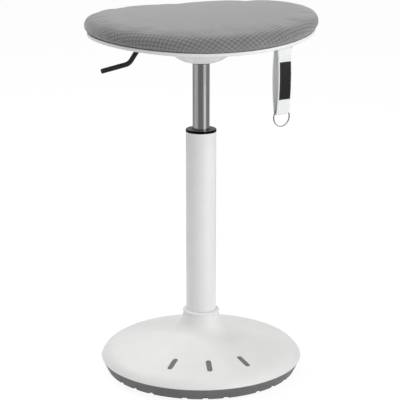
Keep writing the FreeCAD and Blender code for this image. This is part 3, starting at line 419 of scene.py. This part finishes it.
# Black woven label tape, left bare: satin yarn in fine ribs, with painted shade in the furrows
# between them.
BLACK_TAPE = Webbing("black_woven_label", "#0E0E0F", "#080809", 0.6, ior=1.35, rib=1.0,
                     slant=0.0, grain=0.3, relief=0.06, unevenness=0.05)
# Polyester sewing thread, white and charcoal.
WHITE_THREAD = Finish("white_sewing_thread", "#E4E4E1", "#D2D2CF", 0.55, sheen=0.2, patch=2,
                      grain=0.3, relief=0.03)
CHARCOAL_THREAD = Finish("charcoal_sewing_thread", "#48494B", "#3A3B3D", 0.55, sheen=0.2, patch=2,
                         grain=0.3, relief=0.03)


class Slot(Enum):
    """The record's material slots, by their names in capitals, each with its finish."""

    WHITE_PLASTIC = WHITE_ABS
    GREY_INSERT = INLAY_TPE
    GREY_TPE = FOOT_TPE
    GREY_PLASTIC = GREY_NYLON
    BLACK_RUBBER = NITRILE_RUBBER
    RAW_STEEL = OILED_STEEL
    ZINC_STEEL = ZINC_PLATE
    WHITE_STEEL = WHITE_POWDER
    BLACK_PLASTIC = BLACK_NYLON
    BEARING_STEEL = GROUND_STEEL
    CHROME_STEEL = HARD_CHROME
    ALUMINIUM_PART = TURNED_ALUMINIUM
    GREY_FABRIC = GREY_SPACER
    BIRCH_PLY = BIRCH_BOARD
    BLACK_STEEL = BLACK_POWDER
    WHITE_WEBBING = WHITE_TAPE
    BLACK_LABEL = BLACK_TAPE
    RING_STEEL = NICKEL_PLATE

    @property
    def title(self) -> str:
        """The slot's name as the record has it."""
        return self.name.lower()


SEAT_SHELL_NODES = ("seat_shell", "strap_holder")


def new_piece(name: str, points: Sequence[Vector], faces: Sequence[Sequence[int]], finish: Finish,
              cloth: Sequence[Sequence[tuple[float, float]]] | None = None) -> Piece:
    """Make a smooth mesh piece at the origin.

    Args:
        name: the piece's name.
        points: its vertices in metres.
        faces: its faces as vertex numbers.
        finish: what it is made of.
        cloth: the cloth map in metres for every corner of every face.

    Returns:
        The new object.
    """
    mesh = bpy.data.meshes.new(name)
    mesh.from_pydata([tuple(point) for point in points], [], [tuple(face) for face in faces])
    mesh.polygons.foreach_set("use_smooth", [True] * len(mesh.polygons))
    if cloth is not None:
        layer = mesh.uv_layers.new(name=CLOTH_MAP)
        corners = [spot for face in cloth for spot in face]
        for corner, spot in zip(layer.data, corners):
            corner.uv = spot
    mesh.materials.append(finish.material())
    mesh.validate()
    return linked(name, mesh)


def bake_modifiers(piece: Piece) -> None:
    """Replace a piece's mesh by the evaluated one and clear its modifiers."""
    bpy.context.view_layer.update()
    graph = bpy.context.evaluated_depsgraph_get()
    mesh = bpy.data.meshes.new_from_object(piece.evaluated_get(graph))
    piece.modifiers.clear()
    piece.data = mesh


@dataclass
class NodeTool:
    """A Geometry Nodes tree with named inputs, run on a piece's mesh."""

    name: str
    sockets: dict[str, tuple[str, Any]]
    tree: Tree = field(init=False)

    def __post_init__(self) -> None:
        """Start the tree with its geometry sockets and the named inputs."""
        self.tree = bpy.data.node_groups.new(self.name, "GeometryNodeTree")
        face = self.tree.interface
        face.new_socket("Geometry", in_out="INPUT", socket_type="NodeSocketGeometry")
        face.new_socket("Geometry", in_out="OUTPUT", socket_type="NodeSocketGeometry")
        for label, (kind, default) in self.sockets.items():
            socket = face.new_socket(label, in_out="INPUT", socket_type=kind)
            if default is not None:
                socket.default_value = default
        self.source = add_node(self.tree, "NodeGroupInput")

    def add(self, kind: str, settings: dict[str, Any] | None = None,
            inputs: dict[str | int, Any] | None = None) -> bpy.types.Node:
        """Add a node to this tree."""
        return add_node(self.tree, kind, settings, inputs)

    def close(self, geometry: Socket) -> None:
        """End the tree in realized instances with the chosen material."""
        real = self.add("GeometryNodeRealizeInstances", inputs={"Geometry": geometry})
        dressed = self.add("GeometryNodeSetMaterial", inputs={
            "Geometry": real.outputs[0], "Material": self.source.outputs["Material"]})
        self.add("NodeGroupOutput", inputs={"Geometry": dressed.outputs[0]})

    def run(self, piece: Piece, values: dict[str, Any]) -> None:
        """Run the tree on a piece with these values and keep the plain mesh.

        Args:
            piece: the object whose mesh is the tree's geometry.
            values: the inputs by name.
        """
        modifier = piece.modifiers.new(self.name, "NODES")
        modifier.node_group = self.tree
        for item in self.tree.interface.items_tree:
            if item.item_type == "SOCKET" and item.in_out == "INPUT" and item.name in values:
                modifier[item.identifier] = values[item.name]
        bake_modifiers(piece)


def stitch_tool() -> NodeTool:
    """A tree that lays stitches along a path of edges, each a small rounded bead of thread."""
    tool = NodeTool("stitches", {
        "Pitch": ("NodeSocketFloat", 3 * MM),
        "Thread": ("NodeSocketFloat", 0.4 * MM),
        "Fill": ("NodeSocketFloat", 0.7),
        "Material": ("NodeSocketMaterial", None),
    })
    given = tool.source.outputs
    curve = tool.add("GeometryNodeMeshToCurve", inputs={"Mesh": given["Geometry"]})
    even = tool.add("GeometryNodeResampleCurve", {"mode": "LENGTH"},
                    {"Curve": curve.outputs[0], "Length": given["Pitch"]})
    tangent = tool.add("GeometryNodeInputTangent")
    turn = tool.add("FunctionNodeAlignRotationToVector", {"axis": "Z"},
                    {"Vector": tangent.outputs[0]})
    bead = tool.add("GeometryNodeMeshIcoSphere", inputs={"Radius": 1.0, "Subdivisions": 2})
    length = math_node(tool.tree, "MULTIPLY", given["Pitch"], given["Fill"])
    half_length = math_node(tool.tree, "MULTIPLY", length, 0.5)
    form = tool.add("ShaderNodeCombineXYZ", inputs={
        "X": given["Thread"], "Y": given["Thread"], "Z": half_length})
    laid = tool.add("GeometryNodeInstanceOnPoints", inputs={
        "Points": even.outputs[0], "Instance": bead.outputs["Mesh"],
        "Rotation": turn.outputs["Rotation"], "Scale": form.outputs[0]})
    real = tool.add("GeometryNodeRealizeInstances", inputs={"Geometry": laid.outputs[0]})
    smooth = tool.add("GeometryNodeSetShadeSmooth", inputs={"Geometry": real.outputs[0]})
    tool.close(smooth.outputs[0])
    return tool


def wire_tool() -> NodeTool:
    """A tree that sweeps a round wire along a path of edges, with closed ends."""
    tool = NodeTool("wire", {
        "Wire": ("NodeSocketFloat", 0.5 * MM),
        "Sides": ("NodeSocketInt", 12),
        "Material": ("NodeSocketMaterial", None),
    })
    given = tool.source.outputs
    curve = tool.add("GeometryNodeMeshToCurve", inputs={"Mesh": given["Geometry"]})
    section = tool.add("GeometryNodeCurvePrimitiveCircle", inputs={
        "Resolution": given["Sides"], "Radius": given["Wire"]})
    swept = tool.add("GeometryNodeCurveToMesh", inputs={
        "Curve": curve.outputs[0], "Profile Curve": section.outputs["Curve"], "Fill Caps": True})
    smooth = tool.add("GeometryNodeSetShadeSmooth", inputs={"Geometry": swept.outputs[0]})
    tool.close(smooth.outputs[0])
    return tool


def path_piece(name: str, runs: Iterable[Sequence[Vector]], finish: Finish) -> Piece:
    """A piece of bare edges that a node tool turns into stitches or wire.

    Args:
        name: the piece's name.
        runs: paths, each a list of points in metres.
        finish: what it will be made of.

    Returns:
        The new object.
    """
    points: list[Triple] = []
    edges: list[tuple[int, int]] = []
    for run in runs:
        start = len(points)
        points.extend(tuple(point) for point in run)
        edges.extend((index, index + 1) for index in range(start, len(points) - 1))
    mesh = bpy.data.meshes.new(name)
    mesh.from_pydata(points, edges, [])
    mesh.materials.append(finish.material())
    return linked(name, mesh)


@dataclass
class Frame:
    """The rigid parts of the frame, dressed by their material slots."""

    nodes: dict[str, Piece]
    slots: dict[str, str]

    def dress(self) -> None:
        """Give every node the finish of its slot."""
        for name, node in self.nodes.items():
            finish = Slot[self.slots[name].upper()].value
            if name in SEAT_SHELL_NODES:
                finish = WHITE_PP
            for slot in node.material_slots:
                slot.material = finish.material()
        LOG.info("dressed %d nodes", len(self.nodes))


@dataclass
class SaddleSeat:
    """The seat's cushion: a round saddle of foam under a stretched knitted cover."""

    turn: float = math.radians(15.0)
    seam: float = 579.0 * MM
    seam_reach: float = 184.0 * MM
    tilt: float = 4.2 * MM
    bow: float = 5.1 * MM
    reach: float = 190.0 * MM
    height: float = 26.2 * MM
    crown: float = 3.5 * MM
    top_round: float = 17.0 * MM
    top_softness: float = 2.15
    seam_round: float = 9.0 * MM
    cells: int = 76
    swell_start: float = 0.7 * MM
    swell_cap: float = 1.6 * MM
    pressure: float = 4.0
    frames: int = 20
    pucker: float = 0.25 * MM
    pucker_count: int = 54
    pucker_height: float = 14.4 * MM

    def saddle(self, right: float, back: float) -> float:
        """Height of the saddle over the seam's level, at a place in the seat's own frame."""
        across = right / self.seam_reach
        along = back / self.seam_reach
        return self.tilt * across + self.bow * (across * across - along * along)

    def meridian(self) -> list[tuple[float, float]]:
        """The cover's line from the middle of the top over the side to the seam.

        Returns:
            Points of distance from the middle and height over the seam.
        """
        steps = 40
        edge = self.reach - self.top_round
        crest = self.height + self.crown * (1 - (self.reach / self.seam_reach) ** 2)
        line = []
        for step in range(steps):
            reach = edge * step / steps
            line.append((reach, self.height + self.crown * (1 - (reach / self.seam_reach) ** 2)))
        drop = crest - self.seam_round
        power = 2 / self.top_softness
        for step in range(steps):
            angle = math.pi / 2 * step / steps
            line.append((edge + self.top_round * math.sin(angle) ** power,
                         self.seam_round + drop * math.cos(angle) ** power))
        for step in range(steps + 1):
            angle = math.pi / 2 * step / steps
            line.append((self.reach - self.seam_round * (1 - math.cos(angle)),
                         self.seam_round * (1 - math.sin(angle))))
        return line

    def along(self, line: Sequence[tuple[float, float]]) -> Callable[[float], tuple[float, ...]]:
        """A function from a share of a line's length to its point and the length so far."""
        lengths = [0.0]
        for before, after in zip(line, line[1:]):
            lengths.append(lengths[-1] + math.dist(before, after))
        total = lengths[-1]

        def spot(share: float) -> tuple[float, ...]:
            """The point at that share of the line, and its length from the start."""
            wanted = min(max(share, 0.0), 1.0) * total
            index = 1
            while index < len(lengths) - 1 and lengths[index] < wanted:
                index += 1
            part = (wanted - lengths[index - 1]) / max(lengths[index] - lengths[index - 1], 1e-9)
            low, high = line[index - 1], line[index]
            return (low[0] + (high[0] - low[0]) * part, low[1] + (high[1] - low[1]) * part, wanted)

        return spot

    def build(self) -> Piece:
        """The cushion's mesh, swelled by its foam and finished."""
        spot = self.along(self.meridian())
        seam_spot = spot(1.0)
        count = self.cells + 1
        points: list[Vector] = []
        maps: list[tuple[float, float]] = []
        numbers: dict[tuple[int, int, int], int] = {}
        for sheet in (0, 1):
            for row in range(count):
                for column in range(count):
                    on_edge = row in (0, self.cells) or column in (0, self.cells)
                    if sheet and on_edge:
                        numbers[sheet, row, column] = numbers[0, row, column]
                        continue
                    across = 2 * row / self.cells - 1
                    along = 2 * column / self.cells - 1
                    flat = Vector((across * math.sqrt(1 - along * along / 2),
                                   along * math.sqrt(1 - across * across / 2)))
                    share = min(flat.length, 1.0)
                    heading = flat.normalized() if share else Vector((1.0, 0.0))
                    if sheet:
                        reach, level = seam_spot[0] * share, 0.0
                        length = seam_spot[2] + seam_spot[0] - reach
                    else:
                        reach, level, length = spot(share)
                    numbers[sheet, row, column] = len(points)
                    points.append(self.placed(heading * reach, level))
                    maps.append((heading.x * length, heading.y * length))
        faces = []
        for sheet in (0, 1):
            for row in range(self.cells):
                for column in range(self.cells):
                    corners = [numbers[sheet, row, column], numbers[sheet, row + 1, column],
                               numbers[sheet, row + 1, column + 1], numbers[sheet, row, column + 1]]
                    faces.append(corners if sheet == 0 else corners[::-1])
        cloth = [[maps[number] for number in face] for face in faces]
        cushion = new_piece("seat_cushion_cover", points, faces, GREY_SPACER, cloth)
        held = [number for (sheet, row, column), number in numbers.items()
                if sheet or row in (0, self.cells) or column in (0, self.cells)]
        self.swell(cushion, held)
        smooth = cushion.modifiers.new("smooth", "SUBSURF")
        smooth.levels = smooth.render_levels = 1
        bake_modifiers(cushion)
        self.gather(cushion)
        return cushion

    def placed(self, spot: Vector, level: float) -> Vector:
        """A place in the seat's own frame as a point of the stool."""
        point = Vector((spot.x, spot.y, self.seam + level + self.saddle(spot.x, spot.y)))
        point.rotate(Euler((0, 0, self.turn)))
        return point

    def swell(self, cushion: Piece, held: Sequence[int]) -> None:
        """Let the foam press the cover out under Blender's cloth, by no more than a cap.

        Args:
            cushion: the cover's piece.
            held: the vertices at and under the seam, which stay.
        """
        mesh = cushion.data
        start = [vertex.co.copy() for vertex in mesh.vertices]
        fixed = set(held)
        for vertex in mesh.vertices:
            if vertex.index not in fixed:
                vertex.co -= vertex.normal * self.swell_start
        group = cushion.vertex_groups.new(name="held")
        group.add(list(held), 1.0, "REPLACE")
        cloth = cushion.modifiers.new("foam", "CLOTH")
        cloth.settings.use_pressure = True
        cloth.settings.uniform_pressure_force = self.pressure
        cloth.settings.vertex_group_mass = group.name
        cloth.settings.effector_weights.gravity = 0.0
        cloth.settings.quality = 5
        cloth.point_cache.frame_end = self.frames
        scene = bpy.context.scene
        for frame in range(1, self.frames + 1):
            scene.frame_set(frame)
        bake_modifiers(cushion)
        scene.frame_set(1)
        for vertex, before in zip(cushion.data.vertices, start):
            moved = vertex.co - before
            if moved.length > self.swell_cap:
                vertex.co = before + moved.normalized() * self.swell_cap

    def gather(self, cushion: Piece) -> None:
        """Draw the cover into shallow puckers just over the seam, where it is pulled under."""
        for vertex in cushion.data.vertices:
            point = vertex.co.copy()
            point.rotate(Euler((0, 0, -self.turn)))
            level = point.z - self.seam - self.saddle(point.x, point.y)
            reach = math.hypot(point.x, point.y)
            if reach < self.seam_reach - self.seam_round or level > self.pucker_height:
                continue
            fade = math.sin(math.pi * min(max(level / self.pucker_height, 0.0), 1.0))
            heading = math.atan2(point.y, point.x)
            wave = math.sin(heading * self.pucker_count + 2 * math.sin(heading * 5))
            outward = Vector((vertex.co.x, vertex.co.y, 0)).normalized()
            vertex.co += outward * wave * fade * self.pucker

    def finish(self) -> None:
        """Build the cushion and fit it to the frame."""
        cushion = self.build()
        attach(cushion, Body.SEAT.value)
        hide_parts("seat_cushion")
        LOG.info("cushion: %d faces", len(cushion.data.polygons))


@dataclass
class CarryStrap:
    """The carrying loop of webbing round its bar, with a bare label, stitches and a split ring."""

    right: float = 126.1 * MM
    front: float = 100.2 * MM
    turn: float = math.radians(-57.0)
    width: float = 25.0 * MM
    sheet: float = 2.0 * MM
    bar_level: float = 569.8 * MM
    bar_bend: float = 4.2 * MM
    fold_level: float = 467.5 * MM
    fold_bend: float = 3.4 * MM
    strand_bend: float = 330.0 * MM
    label_width: float = 21.0 * MM
    label_foot: float = 488.5 * MM
    label_length: float = 59.0 * MM
    label_sheet: float = 0.7 * MM
    ring_reach: float = 15.0 * MM
    ring_level: float = 459.0 * MM
    ring_wire: float = 0.62 * MM
    ripple: float = 0.12 * MM
    stitch_fill: float = 0.75
    edging_inset: float = 1.6 * MM
    edging_pitch: float = 2.6 * MM
    edging_thread: float = 0.22 * MM
    tack_start: float = 4.0 * MM
    tack_end: float = 9.0 * MM
    tack_inset: float = 2.2 * MM
    tack_pitch: float = 2.4 * MM
    tack_thread: float = 0.3 * MM

    def placed(self, out: float, side: float, level: float) -> Vector:
        """A place out from the strap's face, along its width and at a height, as a point."""
        point = Vector((out, side, level))
        point.rotate(Euler((0, 0, self.turn)))
        return point + Vector((self.right, -self.front, 0))

    def centre(self) -> tuple[float, float]:
        """How far behind the loop's middle, and how high, the centre of a strand's arc lies."""
        bar_away = self.strand_bend - self.bar_bend
        fold_away = self.strand_bend - self.fold_bend
        level = ((self.bar_level + self.fold_level) / 2
                 - (bar_away ** 2 - fold_away ** 2) / (2 * (self.bar_level - self.fold_level)))
        return math.sqrt(bar_away ** 2 - (self.bar_level - level) ** 2), level

    def limits(self) -> tuple[float, float]:
        """The angles of a strand's arc where it leaves the fold and where it meets the bar."""
        back, level = self.centre()
        return (math.atan2(self.fold_level - level, back),
                math.atan2(self.bar_level - level, back))

    def share_at(self, height: float) -> float:
        """The share of a strand, from the fold, that lies below a height."""
        low, high = self.limits()
        return (math.asin((height - self.centre()[1]) / self.strand_bend) - low) / (high - low)

    def length(self) -> float:
        """The webbing's length, flat, once round the loop."""
        low, high = self.limits()
        return (2 * self.strand_bend * (high - low) + self.bar_bend * (math.pi - 2 * high)
                + self.fold_bend * (math.pi + 2 * low))

    def strand(self, share: float, side: int, lift: float = 0.0) -> tuple[float, float]:
        """A point on a strand's middle line, which bows outwards in one arc.

        Args:
            share: nought at the fold, one at the bar.
            side: one for the front strand, minus one for the rear one.
            lift: a distance out from the middle line.

        Returns:
            The distance out from the loop's middle and the height.
        """
        back, level = self.centre()
        low, high = self.limits()
        angle = low + (high - low) * share
        reach = self.strand_bend + lift
        return side * (reach * math.cos(angle) - back), level + reach * math.sin(angle)

    def loop(self) -> list[tuple[float, float]]:
        """The closed middle line of the webbing, from the front of the bar over its top."""
        low, high = self.limits()
        turns = 14
        runs = 36
        points = []
        for step in range(turns):
            angle = high + (math.pi - 2 * high) * step / turns
            points.append((self.bar_bend * math.cos(angle),
                           self.bar_level + self.bar_bend * math.sin(angle)))
        points.extend(self.strand(1 - step / runs, -1) for step in range(runs))
        for step in range(turns):
            angle = math.pi - low + (math.pi + 2 * low) * step / turns
            points.append((self.fold_bend * math.cos(angle),
                           self.fold_level + self.fold_bend * math.sin(angle)))
        points.extend(self.strand(step / runs, 1) for step in range(runs))
        return points

    def section(self, width: float, sheet: float) -> list[tuple[float, float]]:
        """The webbing's cross-section: a flat band with rounded edges, as side and thickness."""
        half = width / 2
        edge = sheet / 2
        corners = []
        for side, start in ((1, -90), (-1, 90)):
            for step in range(7):
                angle = math.radians(start + 30 * step)
                corners.append((side * (half - edge) + edge * math.cos(angle),
                                edge * math.sin(angle)))
        middle = []
        for index, corner in enumerate(corners):
            middle.append(corner)
            if index in (6, 13):
                follower = corners[(index + 1) % len(corners)]
                for part in (0.2, 0.4, 0.6, 0.8):
                    middle.append((corner[0] + (follower[0] - corner[0]) * part, corner[1]))
        return middle

    def swept(self, name: str, line: Sequence[tuple[float, float]], width: float, sheet: float,
              finish: Finish, closed: bool) -> Piece:
        """Sweep a band along a line that lies in the loop's upright plane.

        Args:
            name: the piece's name.
            line: points of distance out and height.
            width: the band's width.
            sheet: its thickness.
            finish: what it is made of.
            closed: whether the line joins up.

        Returns:
            The band's piece.
        """
        section = self.section(width, sheet)
        sides = len(section)
        count = len(line)
        points = []
        lengths = [0.0]
        for index, (out, level) in enumerate(line):
            before = line[index - 1] if closed or index else line[index]
            after = line[(index + 1) % count] if closed or index < count - 1 else line[index]
            ahead = Vector((after[0] - before[0], after[1] - before[1])).normalized()
            normal = Vector((ahead.y, -ahead.x))
            for side, thick in section:
                ripple = self.ripple * noise.noise(Vector((side * 60, index * 0.35, 3.0)))
                shift = normal * (thick + ripple)
                points.append(self.placed(out + shift.x, side, level + shift.y))
            follower = line[(index + 1) % count]
            lengths.append(lengths[-1] + math.dist((out, level), follower))
        faces = []
        cloth = []
        for index in range(count if closed else count - 1):
            follower = (index + 1) % count
            for part in range(sides):
                turn = (part + 1) % sides
                faces.append((index * sides + part, index * sides + turn,
                              follower * sides + turn, follower * sides + part))
                low, high = lengths[index], lengths[index + 1]
                here, there = section[part][0], section[turn][0]
                cloth.append(((here, low), (there, low), (there, high), (here, high)))
        if not closed:
            for row, order in ((0, 1), (count - 1, -1)):
                ring = [row * sides + part for part in range(sides)][::-order]
                faces.append(ring)
                cloth.append([(section[number % sides][0], lengths[row]) for number in ring])
        band = new_piece(name, points, faces, finish, cloth)
        outward(band)
        return band

    def label(self) -> Piece:
        """The bare woven label on the front strand."""
        steps = 20
        low, high = self.limits()
        lift = (self.sheet + self.label_sheet) / 2
        first = self.share_at(self.label_foot)
        last = first + self.label_length / (self.strand_bend * (high - low))
        line = [self.strand(first + (last - first) * step / steps, 1, lift)
                for step in range(steps + 1)]
        return self.swept("strap_label_tape", line, self.label_width, self.label_sheet,
                          BLACK_TAPE, closed=False)

    def stitch_rows(self, low: float, high: float, half: float, lift: float) -> list[list[Vector]]:
        """A closed box of stitching on the front strand.

        Args:
            low: its lower height.
            high: its upper height.
            half: half its width.
            lift: the thread's distance out from the strand's middle line.

        Returns:
            The four sides as paths.
        """
        steps = 16

        def spot(level: float, side: float) -> Vector:
            """A point on the strand at that height and side."""
            out, height = self.strand(self.share_at(level), 1, lift)
            return self.placed(out, side, height)

        upright = [low + (high - low) * step / steps for step in range(steps + 1)]
        sideways = [half - 2 * half * step / steps for step in range(steps + 1)]
        return [[spot(level, half) for level in upright],
                [spot(high, side) for side in sideways],
                [spot(level, -half) for level in upright[::-1]],
                [spot(low, -side) for side in sideways]]

    def split_ring(self, tool: NodeTool) -> Piece:
        """The two close coils of a split ring, each end running beside the other coil."""
        steps = 180
        turns = 2.0
        coils = []
        for step in range(steps + 1):
            share = step / steps
            angle = 2 * math.pi * turns * share + math.radians(60)
            blend = min(max((share - 0.42) / 0.16, 0.0), 1.0)
            shift = self.ring_wire * 1.02 * (1 - 2 * blend * blend * (3 - 2 * blend))
            coils.append(self.placed(shift, self.ring_reach * math.cos(angle),
                                     self.ring_level + self.ring_reach * math.sin(angle)))
        ring = path_piece("split_ring", [coils], NICKEL_PLATE)
        tool.run(ring, {"Wire": self.ring_wire, "Sides": 12, "Material": NICKEL_PLATE.material()})
        return ring

    def finish(self) -> None:
        """Build the loop and what hangs on it, and fit them to the frame."""
        band = self.swept("carry_strap_webbing", self.loop(), self.width, self.sheet,
                          WHITE_TAPE, closed=True)
        label = self.label()
        stitches = stitch_tool()
        label_lift = self.sheet / 2 + self.label_sheet
        label_top = self.label_foot + self.label_length
        edging = path_piece("label_stitches", self.stitch_rows(
            self.label_foot + self.edging_inset, label_top - self.edging_inset,
            self.label_width / 2 - self.edging_inset, label_lift), CHARCOAL_THREAD)
        stitches.run(edging, {"Pitch": self.edging_pitch, "Thread": self.edging_thread,
                              "Fill": self.stitch_fill, "Material": CHARCOAL_THREAD.material()})
        tack = path_piece("strap_stitches", self.stitch_rows(
            label_top + self.tack_start, label_top + self.tack_end,
            self.width / 2 - self.tack_inset, self.sheet / 2), WHITE_THREAD)
        stitches.run(tack, {"Pitch": self.tack_pitch, "Thread": self.tack_thread,
                            "Fill": self.stitch_fill, "Material": WHITE_THREAD.material()})
        ring = self.split_ring(wire_tool())
        for piece, body, slot in (
                (band, Body.STRAP, Slot.WHITE_WEBBING), (label, Body.STRAP, Slot.BLACK_LABEL),
                (edging, Body.STRAP, Slot.BLACK_LABEL), (tack, Body.STRAP, Slot.WHITE_WEBBING),
                (ring, Body.RING, Slot.RING_STEEL)):
            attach(piece, body.value)
            LOG.info("%s: %d faces", piece.name, len(piece.data.polygons))
        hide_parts("carry_strap")
        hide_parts("strap_label")
        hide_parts("key_ring")


def outward(piece: Piece) -> None:
    """Point a closed mesh's faces outwards."""
    form = bmesh.new()
    form.from_mesh(piece.data)
    bmesh.ops.recalc_face_normals(form, faces=form.faces)
    form.to_mesh(piece.data)
    form.free()


@dataclass
class Studio:
    """The camera, the lamps, the pale floor and the low cards that chrome mirrors."""

    camera_place: Triple = (-0.0018, -2.426, 0.960)
    camera_pitch: float = math.radians(74.70)
    lens: float = 136.14
    sensor: float = 36.0
    floor_half: float = 20.0
    world_level: float = 0.44
    floor_share: float = 0.86
    floor_glow: float = 1.07
    card_start: float = 0.55
    card_reach: float = 1.25
    card_top: float = 0.4
    aim: Triple = (0.0, 0.0, 0.35)
    lamps: tuple[tuple[str, Triple, float, float], ...] = (
        ("key", (1.9, -1.5, 1.2), 1.4, 29.0),
        ("fill", (-2.0, -1.4, 1.5), 1.6, 1.0),
        ("top", (-1.1, 0.7, 2.3), 1.6, 27.0),
    )
    cards: tuple[tuple[str, float, float, str], ...] = (
        ("card_far_left", -180.0, -100.0, "#A9A9AA"),
        ("card_left", -100.0, -48.0, "#C9C9CA"),
        ("card_near_left", -48.0, -34.0, "#9C9C9D"),
        ("card_front", -34.0, 26.0, "#7F7F80"),
        ("card_near_right", 26.0, 38.0, "#B4B4B5"),
        ("card_right", 38.0, 70.0, "#FAFAFA"),
        ("card_far_right", 70.0, 180.0, "#969697"),
    )

    def camera(self) -> None:
        """The camera at the photograph's viewing angle."""
        data = bpy.data.cameras.new("camera")
        data.lens = self.lens
        data.sensor_width = self.sensor
        camera = linked("camera", data)
        camera.location = self.camera_place
        camera.rotation_euler = (self.camera_pitch, 0.0, 0.0)
        bpy.context.scene.camera = camera

    def lamp(self, name: str, spot: Triple, size: float, power: float) -> None:
        """A square softbox that faces the stool.

        Args:
            name: its name.
            spot: where it stands.
            size: the length of its side in metres.
            power: its power in watts.
        """
        data = bpy.data.lights.new(name, "AREA")
        data.shape = "SQUARE"
        data.size = size
        data.energy = power
        lamp = linked(name, data)
        lamp.location = spot
        heading = Vector(self.aim) - Vector(spot)
        lamp.rotation_euler = heading.to_track_quat("-Z", "Y").to_euler()

    def world(self) -> None:
        """A soft white surround, at full white for the camera, for gloss and for glass."""
        world = bpy.data.worlds.new("studio")
        tree = bare_tree(world)
        level = add_node(tree, "ShaderNodeMapRange", inputs={
            "Value": seen_directly(tree), "To Min": self.world_level, "To Max": 1.0})
        shade = add_node(tree, "ShaderNodeBackground", inputs={
            "Color": linear("#FFFFFF"), "Strength": level.outputs["Result"]})
        add_node(tree, "ShaderNodeOutputWorld", inputs={"Surface": shade.outputs[0]})
        bpy.context.scene.world = world

    def floor(self) -> None:
        """A wide floor, almost white to the camera, that keeps the stool's soft shadow."""
        half = self.floor_half
        mesh = bpy.data.meshes.new("floor")
        mesh.from_pydata([(-half, -half, 0), (half, -half, 0), (half, half, 0), (-half, half, 0)],
                         [], [(0, 1, 2, 3)])
        material = bpy.data.materials.new("white_paper_floor")
        tree = bare_tree(material)
        share = math_node(tree, "MULTIPLY", seen_directly(tree), self.floor_share)
        paper = add_node(tree, "ShaderNodeBsdfDiffuse", inputs={"Color": linear("#F2F2F2")})
        glow = add_node(tree, "ShaderNodeEmission", inputs={
            "Color": linear("#FFFFFF"), "Strength": self.floor_glow})
        mix = add_node(tree, "ShaderNodeMixShader", inputs={
            0: share, 1: paper.outputs[0], 2: glow.outputs[0]})
        add_node(tree, "ShaderNodeOutputMaterial", inputs={"Surface": mix.outputs[0]})
        mesh.materials.append(material)
        linked("floor", mesh)

    def card(self, name: str, first: float, last: float, colour: str) -> None:
        """A sector of a low ring of card that only reflections see, on the floor and up its wall.

        Args:
            name: its name.
            first: the heading of its left end, in degrees to the right of the camera's side.
            last: the heading of its right end.
            colour: its colour.
        """
        steps = 24
        lift = 2 * MM
        profile = ((self.card_start, lift), (self.card_reach, lift),
                   (self.card_reach, self.card_top))
        points = []
        for step in range(steps + 1):
            angle = math.radians(-90 + first + (last - first) * step / steps)
            points.extend((reach * math.cos(angle), reach * math.sin(angle), level)
                          for reach, level in profile)
        sides = len(profile)
        faces = [(sides * step + part, sides * (step + 1) + part,
                  sides * (step + 1) + part + 1, sides * step + part + 1)
                 for step in range(steps) for part in range(sides - 1)]
        mesh = bpy.data.meshes.new(name)
        mesh.from_pydata(points, [], faces)
        material = bpy.data.materials.new(name + "_paper")
        tree = bare_tree(material)
        glow = add_node(tree, "ShaderNodeEmission", inputs={
            "Color": linear(colour), "Strength": 1.0})
        add_node(tree, "ShaderNodeOutputMaterial", inputs={"Surface": glow.outputs[0]})
        mesh.materials.append(material)
        card = linked(name, mesh)
        card.visible_camera = False
        card.visible_diffuse = False
        card.visible_shadow = False
        card.visible_transmission = False

    def build(self) -> None:
        """Set up the whole studio."""
        self.camera()
        self.world()
        self.floor()
        for lamp in self.lamps:
            self.lamp(*lamp)
        for card in self.cards:
            self.card(*card)
        LOG.info("studio ready")


def main() -> None:
    """Dress the frame, build the soft pieces and set up the studio."""
    logging.basicConfig(level=logging.INFO, format="%(name)s: %(message)s")
    for leftover in list(bpy.data.objects):
        bpy.data.objects.remove(leftover)
    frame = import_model()
    record = frame["record"]
    slots = {part["node"]: part["material_slot"] for part in record["subparts"]}
    Studio().build()
    Frame(frame["nodes"], slots).dress()
    SaddleSeat().finish()
    CarryStrap().finish()
    bpy.context.scene.view_settings.view_transform = "Standard"


if __name__ == "__main__":
    main()
